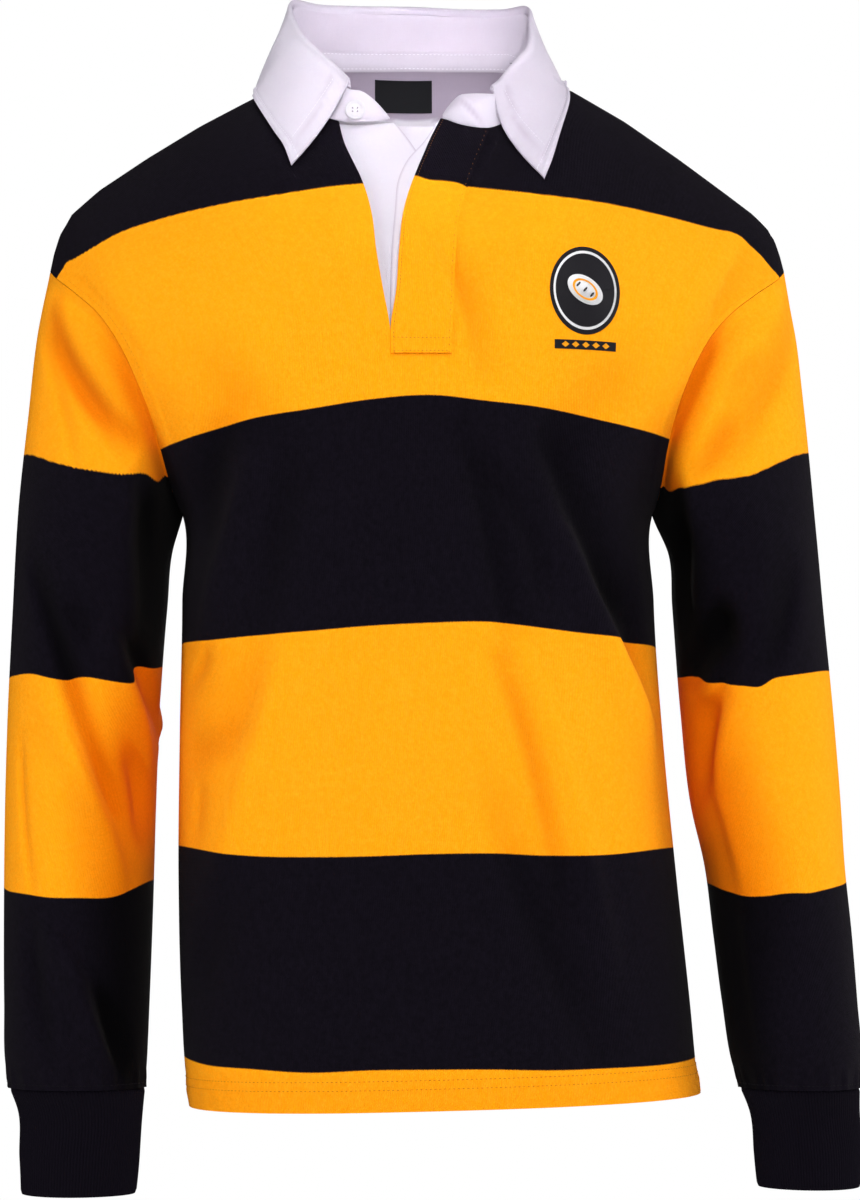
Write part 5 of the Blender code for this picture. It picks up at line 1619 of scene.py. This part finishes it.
@dataclass
class Collar:
    """Stand, leaf and their sewing."""

    form: ShirtForm = FORM
    thick: float = 0.0014
    below_roll: float = 0.007
    stand_start: float = 10.0
    leaf_turns: tuple[float, float] = (29.0, 323.0)
    leaf_deep: float = 0.085
    channel: float = 0.0055
    bow: dict[Hand, float] = field(default_factory=lambda: {Hand.RIGHT: 0.0055, Hand.LEFT: 0.0095})
    columns: int = 200
    rows: int = 60
    leaf: Sheet = field(init=False)
    stand: Sheet = field(init=False)

    @staticmethod
    def outward(turn: Array) -> Array:
        """Level direction away from the middle of the neck."""
        angle = np.radians(turn)
        return np.stack([-np.sin(angle), -np.cos(angle), np.zeros_like(angle)], -1)

    @staticmethod
    def line(turn: Array, name: str) -> Array:
        """The roll or the edge of the collar at a turn."""
        return np.stack([COLLAR.read(turn, name + k) for k in ("_x", "_y", "_z")], -1)

    def stand_top(self, turn: Array) -> Array:
        """Top of the stand, under the roll or lower where it ends.

        Args:
            turn: Turns round the neck.

        Returns:
            Points.
        """
        out = self.outward(turn)
        under = self.line(turn, "roll") + out * 0.0005
        under[..., 2] -= self.below_roll
        height = STAND_ENDS.read(turn, "height")
        rise = np.stack([out[..., 0] * -0.05, out[..., 1] * -0.05, np.ones_like(turn)], -1)
        ends = self.form.neck_point(turn) + rise * height[..., None]
        blend = np.minimum(ease((turn - 26.0) / 12.0), ease((326.0 - turn) / 12.0))[..., None]
        return ends * (1 - blend) + under * blend

    def build_stand(self) -> None:
        """Makes the stand."""
        first, last = self.stand_start, self.form.neck_turn(PLACKET["fly_edge"][-1])
        turns = np.linspace(first, last, self.columns)
        seam = self.form.neck_point(turns)
        seam[:, 2] += 0.0006
        top = self.stand_top(turns)
        share = steps(22)[:, None, None]
        out = self.outward(turns)
        outer = seam[None] * (1 - share) + top[None] * share + out[None] * np.sin(share * math.pi) * 0.001
        self.stand = Sheet(outer, outward=out[None] * np.ones_like(outer))
        end = np.minimum((turns - first) / 1.6, (last - turns) / 1.6)[None]
        edge = np.minimum(end, np.minimum(share, 1 - share)[..., 0] / 0.06)
        tab = np.sin(math.pi * share[..., 0]) * ease((turns - 326.0) / 4.0)[None]
        wrinkle = bump_at((turns - 338.0)[None] - 14.0 * (share[..., 0] - 0.6), 1.8)
        self.stand.lift(0.0030 * tab * bump_at(turns - 337.0, 7.0) - 0.0024 * tab * wrinkle
                        - 0.0004 * (1.0 - ease(edge)))
        # Painted shade: all over the stand, more at the back and in the tab's wrinkle.
        rear = ease((turns - 100.0) / 15.0) * ease((260.0 - turns) / 15.0)
        self.stand.painted_shade = 0.25 + 0.16 * rear + 0.35 * tab * wrinkle
        thing = self.stand.wall("stand_cloth", self.thick, DRILL, flip=True)
        dress(thing, "collar_stand")

    def build_leaf(self) -> None:
        """Makes the turned-down leaf."""
        start, end = self.leaf_turns
        turns = np.linspace(start, end, self.columns)
        roll, edge = self.line(turns, "roll"), self.line(turns, "edge")
        out = self.outward(turns)
        up = np.array([0.0, 0.0, 1.0])
        under = self.stand_top(turns) - out * self.thick + up * 0.0005
        keys = [under, roll - out * 0.0013 - up * 0.0022, roll, roll + out * 0.0026 - up * 0.0012,
                roll + out * 0.0040 - up * 0.0050]
        bow = (self.bow[Hand.RIGHT] * bump_at(turns - start, 9.0)
               - self.bow[Hand.LEFT] * bump_at(turns - end, 9.0))
        over = keys[-1]
        for share in (0.22, 0.46, 0.73, 1.0):
            belly = math.sin(math.pi * share)
            row = over + (edge - over) * share + (out * 0.7 + up * 0.3) * belly * 0.003
            row[:, 0] += bow * belly
            keys.append(row)
        keys = np.array(keys)
        keys[5:] = self.clear_of_body(keys[5:])
        run = np.array([0.0, 0.10, 0.15, 0.20, 0.25, 0.40, 0.60, 0.80, 1.0])
        fine = steps(self.rows)
        self.leaf = Sheet(smooth(fine, run, keys))
        sign = np.sign((self.leaf.normal[-1] * out).sum(-1).mean())
        self.leaf.normal = self.leaf.outward = self.leaf.normal * sign
        relief = self.leaf_relief(turns, fine)
        self.leaf.lift(relief)
        # Painted shade: in the topstitched channel, along the leaf's top where it turns under the roll, and
        # more over the wearer's left half.
        inside = 0.25 * (1.0 - ease((fine - 0.14) / 0.04))[:, None]
        painted_side_shade = 0.13 + 0.13 * ease((turns - 170.0) / 20.0)[None]
        self.leaf.painted_shade = np.clip(-relief / 0.0016 - 0.06, 0.0, 0.22) + painted_side_shade + inside
        thing = self.leaf.wall("leaf_cloth", self.thick, DRILL, flip=True)
        dress(thing, "collar_leaf")

    def leaf_relief(self, turns: Array, fine: Array) -> Array:
        """Topstitched channel and soft puckers of the leaf.

        Args:
            turns: Turn of each column.
            fine: Share down the leaf of each row.

        Returns:
            Height outward.
        """
        start, end = self.leaf_turns
        from_edge = (1.0 - fine)[:, None] * self.leaf_deep * np.ones(len(turns))[None]
        span = np.abs(np.minimum(turns - start, end - turns))[None]
        from_end = span * 0.0016 * (0.3 + 0.7 * fine[:, None])
        inside = np.minimum(from_edge, np.where(fine[:, None] > 0.27, from_end, 1.0))
        along = np.where(from_edge < from_end, turns[None] * 0.0022, fine[:, None] * self.leaf_deep)
        pucker = 0.5 + 0.5 * np.sin(along * math.tau / 0.008 + 2.0 * np.sin(along * 90.0))
        height = -0.0005 * bump_at(inside - self.channel, 0.0012)
        height = height + 0.0004 * pucker * bump_at(inside - 0.003, 0.002)
        height = height - 0.0003 * (1.0 - ease(inside / 0.0012))
        return height * ease((fine[:, None] - 0.25) / 0.05)

    def clear_of_body(self, points: Array) -> Array:
        """Moves the points that come too close to the body off it.

        Args:
            points: Rows of the leaf.

        Returns:
            The rows, moved.
        """
        points = points.copy()
        for _ in range(6):
            x, y, z = points[..., 0], points[..., 1], points[..., 2]
            for face in Face:
                mine = (y <= 0.0) if face is Face.FRONT else (y > 0.0)
                ridge = self.form.start(x, z, face)
                over = z > ridge - 0.004
                surface = self.form.depth(x, np.minimum(z, ridge - 0.0005), face)
                normal = self.form.normal(x, np.minimum(z, ridge - 0.004), face)
                gap = (y - surface) * normal[..., 1]
                gap = np.where(over, np.maximum(gap, z - ridge), gap)
                push = np.where(mine, np.clip(0.0042 - gap, 0.0, 0.004), 0.0)
                direction = np.where(over[..., None], np.array([0.0, 0.0, 1.0]), normal)
                points = points + direction * push[..., None]
        return points

    def sew(self) -> None:
        """Topstitching down the leaf's ends and along its edge."""
        deep = round((self.rows - 1) * (1.0 - self.channel / self.leaf_deep))
        down = slice(int(self.rows * 0.30), deep)
        lines = [self.leaf.line(deep), self.leaf.line(down, 4), self.leaf.line(down, -5)]
        Sewing(0.0024, 0.0006, 0.00022).sew("leaf_stitches", lines, WHITE_THREAD, "collar_leaf", "drill")


# ---------- placket

@dataclass
class Laid:
    """A strip that lies on a panel or under it."""

    form: ShirtForm = FORM
    face: Face = Face.FRONT

    def points(self, x: Array, z: Array, lift: Array | float) -> Array:
        """Points a height off the panel's form.

        Args:
            x: Across.
            z: Height.
            lift: Height off the form.

        Returns:
            The points.
        """
        x, z = np.broadcast_arrays(np.asarray(x, float), np.asarray(z, float))
        points = np.stack([x, self.form.depth(x, z, self.face), z], -1)
        height = np.asarray(lift) + self.form.folds(x, z, self.face)
        return points + self.form.normal(x, z, self.face) * height[..., None]

    def sheet(self, x: Array, z: Array, lift: Array | float) -> Sheet:
        """A sheet on those points."""
        return Sheet(self.points(x, z, lift), outward=np.array([0.0, float(self.face.value), 0.0]))


@dataclass
class Placket:
    """Fly, facing and underlap."""

    form: ShirtForm = FORM
    foot: float = -0.2365
    top: float = -0.0535
    rows: int = 120
    columns: int = 26
    fly_up: float = 0.0022
    under: float = -0.0026
    return_under: float = -0.0062
    edge_stitch: float = 0.0022
    seam_stitch: float = 0.0020
    foot_stitches: tuple[float, float] = (-0.2255, -0.2345)

    def plan(self, start: tuple[str, float], end: tuple[str, float], below: float,
             hand: Hand) -> tuple[Array, Array, Array]:
        """Lattice of (x, z) between two edges of the placket.

        Args:
            start: The first edge's column and how far past it.
            end: The last edge's column and how far past it.
            below: How far its top lies under the neck seam.
            hand: The side that it is sewn to.

        Returns:
            x, z and the share across.
        """
        levels = np.linspace(self.foot, self.top, self.rows)
        share = steps(self.columns)[None, :]
        left = PLACKET.read(levels, start[0]) + start[1]
        right = PLACKET.read(levels, end[0]) + end[1]
        x = left[:, None] * (1 - share) + right[:, None] * share
        rise = (levels - levels[0]) / (levels[-1] - levels[0])
        top = self.form.neck_height(x[-1], hand) - below
        z = levels[:, None] + (top - levels[-1])[None, :] * rise[:, None]
        return x, z, share

    def build(self) -> None:
        """Makes the three strips and their sewing."""
        laid = Laid(self.form)
        x, z, share = self.plan(("fly_edge", 0.0003), ("fly_seam", 0.0), 0.0012, Hand.LEFT)
        round_edge = ease(np.minimum(share, 1 - share) / 0.05) - 1.0
        fly = laid.sheet(x, z, self.fly_up + 0.0006 * round_edge)
        fly.lift(-0.0003 * (bump_at(x - x[:, :1] - self.edge_stitch, 0.0011)
                            + bump_at(x[:, -1:] - x - self.seam_stitch, 0.0011)))
        borders = [np.full_like(x, level) for level in (-0.731, -0.584, -0.425, -0.267)]
        fly.hoop = hoop_place(z, [*borders, FLY_YOKE.read(x, "z")], 1)
        thing = dress(fly.wall("fly_cloth", 0.0014, JERSEY), "placket_fly")
        self.sew_fly(fly, x, z)
        x, z, share = self.plan(("facing_edge", 0.0), ("fly_seam", -0.003), 0.0016, Hand.LEFT)
        facing = laid.sheet(x, z, self.under)
        # Painted shade along the facing's free edge.
        facing.painted_shade = 0.5 * (1.0 - ease(share / 0.04)) * np.ones_like(z)
        thing = dress(facing.wall("facing_cloth", 0.0009, DRILL), "fly_facing")
        x, z, share = self.plan(("underlap_edge", -0.0070), ("lap_right", 0.0), -0.0020, Hand.RIGHT)
        underlap = laid.sheet(x, z, self.under - 0.0014 * ease(share / 0.13))
        # Painted shade along the underlap's right edge, in its upper part.
        underlap.painted_shade = 0.55 * ease((share - 0.975) / 0.02) * ease((z + 0.12) / 0.03)
        thing = dress(underlap.wall("underlap_cloth", 0.0011, DRILL), "placket_underlap")
        levels = np.linspace(-0.089, -0.0495, 30)[:, None]
        left = PLACKET.read(levels, "lap_right") - 0.012
        right = PLACKET.read(levels, "facing_edge") + 0.006
        share = steps(24)[None, :]
        turned = laid.sheet(left * (1 - share) + right * share, levels, self.return_under)
        # Painted shade towards the return's left side.
        turned.painted_shade = 0.35 * (1.0 - ease((share - 0.22) / 0.30)) * np.ones_like(levels)
        thing = turned.wall("underlap_return_cloth", 0.0008, DRILL)
        dress(thing, "placket_underlap", replaces=False)

    def sew_fly(self, fly: Sheet, x: Array, z: Array) -> None:
        """Stitches down both sides of the fly and across its foot.

        Args:
            fly: The fly's sheet.
            x: Its plan across.
            z: Its plan up.
        """
        edge = seam_line(fly.outer, fly.normal, x - x[:, [0]], self.edge_stitch)
        seam = seam_line(fly.outer, fly.normal, x - x[:, [-1]], -self.seam_stitch)
        feet = [fly.line(int(np.argmin(np.abs(z[:, 5] - level))), slice(1, -1))
                for level in self.foot_stitches]
        for name, stitch, lines in (("fly_stitches", Sewing(0.0015, 0.0012, 0.00015), [edge, *feet]),
                                    ("fly_seam_stitches", Sewing(0.0014, 0.0036, 0.00014), [seam])):
            stitch.sew(name, lines, BROWN_THREAD, "placket_fly", "jersey")


# ---------- neck

@dataclass
class NeckInside:
    """Half moon, tape and label inside the back of the neck."""

    collar: Collar
    form: ShirtForm = FORM
    tape_high: float = 0.21
    tape_rows: int = 14
    turned_edge: float = -0.0085

    def build(self) -> None:
        """Makes the three pieces."""
        laid = Laid(self.form, Face.BACK)
        turns = np.linspace(126.0, 234.0, 61)
        seam = self.form.neck(turns)
        share = steps(30)[:, None]
        across = -np.cos(np.linspace(0.0, math.pi, 61))
        top_x, top_z = seam[:, 0], seam[:, 1] - 0.0020
        x = 0.070 * across * (1 - share) + top_x * share
        z = (-0.042 + 0.044 * across ** 2) * (1 - share) + top_z * share
        moon = laid.sheet(x, z, -0.0032 + 0.0 * x)
        edge = self.turned_edge + 0.0030 * (x / 0.06) ** 2
        moon.lift(0.0006 * (1.0 - ease((z - edge) / 0.0008)))
        # Painted shade over the half moon above its turned edge.
        moon.painted_shade = 0.75 * ease((z - edge) / 0.0008)
        thing = dress(moon.wall("half_moon_cloth", 0.0008, DRILL, flip=True), "half_moon")
        share = steps(self.tape_rows)[:, None, None]
        turns = np.linspace(118.0, 242.0, 80)
        seam = self.form.neck(turns)
        low = laid.points(seam[None, :, 0], seam[None, :, 1] - 0.0034, -0.0046)
        out = Collar.outward(turns)
        seam_up = self.form.neck_point(turns)
        high = seam_up + (self.collar.stand_top(turns) - seam_up) * self.tape_high - out * 0.0034
        tape = Sheet(low * (1 - share) + high[None] * share,
                     outward=-out[None] * np.ones((self.tape_rows, 1, 3)))
        up = share[..., 0]
        belly = 0.0024 * np.sin(math.pi * up) ** 0.5 - 0.0003 * bump_at(up - 0.16, 0.06)
        tape.lift(belly * np.ones_like(turns))
        # Painted shade over the whole tape.
        tape.painted_shade = np.full_like(tape.outer[..., 0], 0.38)
        thing = dress(tape.wall("neck_tape_cloth", 0.0008, DRILL), "neck_tape")
        rows = [tape.line(2), tape.line(-3)]
        Sewing(0.0020, 0.0012, 0.00020).sew("neck_tape_stitches", rows, WHITE_THREAD, "neck_tape", "drill")
        x = np.linspace(-0.0303, 0.0152, 24)[None, :]
        z = np.linspace(-0.0026, 0.0190, 12)[:, None]
        label = laid.sheet(x, z, -0.0047)
        thing = label.wall("neck_label_cloth", 0.0006, LabelFinish(), flip=True)
        dress(thing, "neck_label")


# ---------- button

@dataclass
class Button:
    """Four-hole button with its thread."""

    collar: Collar
    turn: float = 26.0
    share: float = 0.36
    radius: float = 0.0076
    thick: float = 0.0030
    sides: int = 96
    profile: tuple[tuple[float, float], ...] = (
        (0.02, 0.10), (0.40, 0.10), (0.60, 0.15), (0.68, 0.45), (0.74, 0.90), (0.82, 1.0), (0.90, 0.97),
        (0.97, 0.75), (1.0, 0.35), (1.0, 0.0), (0.95, -0.6), (0.85, -1.0), (0.02, -1.0))
    hole: float = 0.0007
    hole_sides: int = 16
    hole_off: tuple[float, float] = (0.0017, 0.0013)

    def seat(self, turn: float, share: float) -> Array:
        """Point of the stand's face."""
        at = np.array([turn])
        foot, top = self.collar.form.neck_point(at), self.collar.stand_top(at)
        return (foot * (1 - share) + top * share + Collar.outward(at) * 0.001)[0]

    def build(self) -> None:
        """Makes the button."""
        across = self.seat(self.turn + 2, self.share) - self.seat(self.turn - 2, self.share)
        rise = self.seat(self.turn, self.share + 0.1) - self.seat(self.turn, self.share - 0.1)
        out = unit(np.cross(rise, across))
        across = unit(np.cross(out, (0.0, 0.0, 1.0)))
        up = np.cross(across, out)
        centre = self.seat(self.turn, self.share) + out * (self.thick / 2 + 0.0006)
        sides = self.sides
        turn = np.arange(sides) * math.tau / sides
        flat = np.cos(turn)[:, None] * across + np.sin(turn)[:, None] * up
        points = np.concatenate([centre + flat * share * self.radius + out * height * self.thick / 2
                                 for share, height in self.profile])
        faces = [face[::-1] for face in tube_faces(len(self.profile), sides)]
        dress(build("button_disc", points, faces, ButtonFinish()), "collar_button")
        bars = []
        face = centre + out * self.profile[0][1] * self.thick / 2
        wide, high = self.hole_off
        for sign in (-1, 1):
            middle = face + up * sign * high
            bar = np.linspace(middle - across * 0.0013, middle + across * 0.0013, 5)
            for off in (out * 0.0002, out * 0.0003 + up * 0.0004):
                bars.append((bar + off, np.repeat(out[None], 5, 0)))
        Sewing(0.0026, 0.0001, 0.0003).sew("button_thread", bars, WHITE_THREAD, "collar_button", "button")
        # The holes are thin dark rings of painted shade on the solid disc.
        sides = self.hole_sides
        rim = np.arange(sides) * math.tau / sides
        circle = (np.cos(rim)[:, None] * across + np.sin(rim)[:, None] * up) * self.hole
        rings = [face + across * i * wide + up * j * high + circle + out * k * THREAD_OFF
                 for i in (-1, 1) for j in (-1, 1) for k in (-1, 1)]
        faces = [face for hole in range(4) for face in tube_faces(2, sides, hole * 2 * sides, shut=False)]
        holes = build("button_holes", np.concatenate(rings), faces, PAINTED_HOLE_SHADE)
        dress(holes, "collar_button", replaces=False)


# ---------- badge

@dataclass
class Badge:
    """Plain embroidered badge on the left chest: an oval with a ball, over a bar of lozenges."""

    form: ShirtForm = FORM
    x: float = 0.1225
    z: float = -0.188
    wide: float = 0.0250
    high: float = 0.0330
    thick: float = 0.0005
    bar_z: float = -0.0405
    bar: tuple[float, float] = (0.022, 0.0032)
    lozenge: tuple[float, float] = (0.0026, 0.0021)

    def patch(self, name: str, x: Array, z: Array, lift: float, finish: Finish) -> None:
        """Lays one embroidered shape on the chest.

        Args:
            name: The piece's name.
            x: Across from the badge's middle.
            z: Up from it.
            lift: Height of its top off the cloth.
            finish: Its thread.
        """
        sheet = Laid(self.form).sheet(self.x + x, self.z + z, lift)
        dress(sheet.wall(name, self.thick, finish), "front_panel", replaces=False)

    def ring(self, name: str, inner: float, outer: float, lift: float, finish: Finish,
             tilt: float = 0.0, flat: float = 1.0, centre: tuple[float, float] = (0.0, 0.0)) -> None:
        """An oval ring or disc.

        Args:
            name: The piece's name.
            inner: Inner share of the badge's size.
            outer: Outer share of it.
            lift: Height off the cloth.
            finish: Its thread.
            tilt: Turn in degrees.
            flat: Height over width, against the badge's own.
            centre: Its middle from the badge's middle.
        """
        turn = np.linspace(math.tau, 0.0, 97)[None, :]
        share = np.linspace(outer, inner, 8)[:, None]
        x, z = share * self.wide * np.cos(turn), share * self.high * flat * np.sin(turn)
        angle = math.radians(tilt)
        self.patch(name, centre[0] + x * math.cos(angle) - z * math.sin(angle),
                   centre[1] + x * math.sin(angle) + z * math.cos(angle), lift, finish)

    def build(self) -> None:
        """Makes the badge."""
        black = EmbroideryFinish("badge_black", (0.010, 0.009, 0.012), 80.0)
        white = EmbroideryFinish("badge_white", (0.85, 0.84, 0.86), 20.0)
        amber = EmbroideryFinish("badge_amber", (0.95, 0.36, 0.008), 100.0)
        self.ring("badge_rim", 0.90, 1.0, 0.0006, black)
        self.ring("badge_band", 0.84, 0.90, 0.0007, white)
        self.ring("badge_field", 0.02, 0.84, 0.0006, black)
        self.ring("badge_ball", 0.02, 0.56, 0.0009, white, tilt=-38.0, flat=0.50)
        self.ring("badge_ball_band", 0.33, 0.40, 0.0011, amber, tilt=-38.0, flat=0.50)
        for index, offset in enumerate((-0.006, 0.0, 0.006)):
            self.ring("badge_lace_%d" % index, 0.02, 0.085, 0.0012, black, tilt=52.0, flat=0.25,
                      centre=(offset * 0.79, -offset * 0.62))
        wide, high = self.bar
        x, z = np.meshgrid(np.linspace(-wide, wide, 40), np.linspace(-high, high, 6))
        self.patch("badge_bar", x, self.bar_z + z, 0.0006, black)
        across, up = np.meshgrid(np.linspace(-1.0, 1.0, 9), np.linspace(-1.0, 1.0, 9))
        wide, high = self.lozenge
        for index, place in enumerate((-0.0145, -0.0073, 0.0, 0.0073, 0.0145)):
            self.patch("badge_lozenge_%d" % index, place + across * ((1.0 - np.abs(up)) * wide + 0.00005),
                       self.bar_z + up * high, 0.0009, amber)


# ---------- studio

@dataclass(frozen=True)
class SoftBox:
    """A square lamp that looks at the chest."""

    name: str
    turn: float
    away: float
    height: float
    wide: float
    power: float
    aim: tuple[float, float, float] = (0.0, 0.0, -0.40)
    spread: float = 180.0

    def build(self) -> None:
        """Hangs the lamp at its turn round the shirt."""
        angle = math.radians(self.turn)
        data = bpy.data.lights.new(self.name, "AREA")
        data.size = self.wide
        data.energy = self.power
        data.spread = math.radians(self.spread)
        lamp = bpy.data.objects.new(self.name, data)
        lamp.location = (self.away * math.sin(angle), -self.away * math.cos(angle), self.height)
        look = unit(np.array(self.aim) - np.array(lamp.location))
        lamp.rotation_euler = (math.acos(-look[2]), 0.0, math.atan2(look[1], look[0]) - math.pi / 2)
        lamp.visible_camera = False
        bpy.context.scene.collection.objects.link(lamp)


@dataclass
class Studio:
    """Camera, light and floor."""

    eye: tuple[float, float, float] = (0.0133, -2.0, -0.596)
    rise: float = math.atan2(0.2, 2.0)
    lens: float = 81.48
    floor: float = -1.30
    floor_half: float = 2.8
    ambient: float = 0.02
    boxes: tuple[SoftBox, ...] = (
        SoftBox("right_box", -62.0, 2.6, 0.3, 1.2, 27.5),
        SoftBox("left_box", 92.0, 2.6, 0.3, 1.2, 47.0),
        SoftBox("front_box", 8.0, 2.6, 0.2, 1.2, 38.0),
        SoftBox("high_box", 8.0, 2.0, 1.6, 1.5, 32.5),
        SoftBox("top_box", 0.0, 0.6, 2.2, 1.5, 7.5),
        SoftBox("neck_box", 0.0, 1.5, -0.25, 0.2, 0.10, (0.005, 0.0, 0.015), 7.0),
        SoftBox("rear_box", 180.0, 2.6, 0.6, 1.5, 50.0),
    )

    def build(self) -> None:
        """Makes the studio."""
        scene = bpy.context.scene
        scene.view_settings.view_transform = "Standard"
        data = bpy.data.cameras.new("camera")
        data.lens = self.lens
        data.sensor_width = 36.0
        camera = bpy.data.objects.new("camera", data)
        camera.location = self.eye
        camera.rotation_euler = (math.pi / 2 + self.rise, 0.0, 0.0)
        scene.collection.objects.link(camera)
        scene.camera = camera
        self.surround()
        for box in self.boxes:
            box.build()
        points = np.array([(x * self.floor_half, y * self.floor_half, self.floor)
                           for x, y in ((-1, -1), (1, -1), (1, 1), (-1, 1))])
        build("floor", points, [[0, 1, 2, 3]], StageFinish())

    def surround(self) -> None:
        """A white room to look at, which lights the shirt only faintly."""
        world = bpy.data.worlds.new("studio")
        world.use_nodes = True
        tree = world.node_tree
        seen, lit = tree.nodes["Background"], tree.nodes.new("ShaderNodeBackground")
        for node in (seen, lit):
            node.inputs["Color"].default_value = (1.0, 1.0, 1.0, 1.0)
        lit.inputs["Strength"].default_value = self.ambient
        pick = tree.nodes.new("ShaderNodeMixShader")
        path = tree.nodes.new("ShaderNodeLightPath")
        tree.links.new(path.outputs["Is Camera Ray"], pick.inputs[0])
        tree.links.new(lit.outputs[0], pick.inputs[1])
        tree.links.new(seen.outputs[0], pick.inputs[2])
        tree.links.new(pick.outputs[0], tree.nodes["World Output"].inputs["Surface"])
        bpy.context.scene.world = world


def main() -> None:
    """Builds the shirt from the body outwards."""
    logging.basicConfig(level=logging.INFO, format="%(message)s")
    body = BodyPanels()
    body.build()
    body.sew_hem()
    body.sew_armholes()
    for hand in Hand:
        sleeve = Sleeve(hand, body.border(hand))
        sleeve.build()
        sleeve.sew()
        Cuff(hand).build()
    collar = Collar()
    collar.build_stand()
    collar.build_leaf()
    collar.sew()
    Placket().build()
    NeckInside(collar).build()
    Button(collar).build()
    Badge().build()
    Studio().build()


if __name__ == "__main__":
    main()
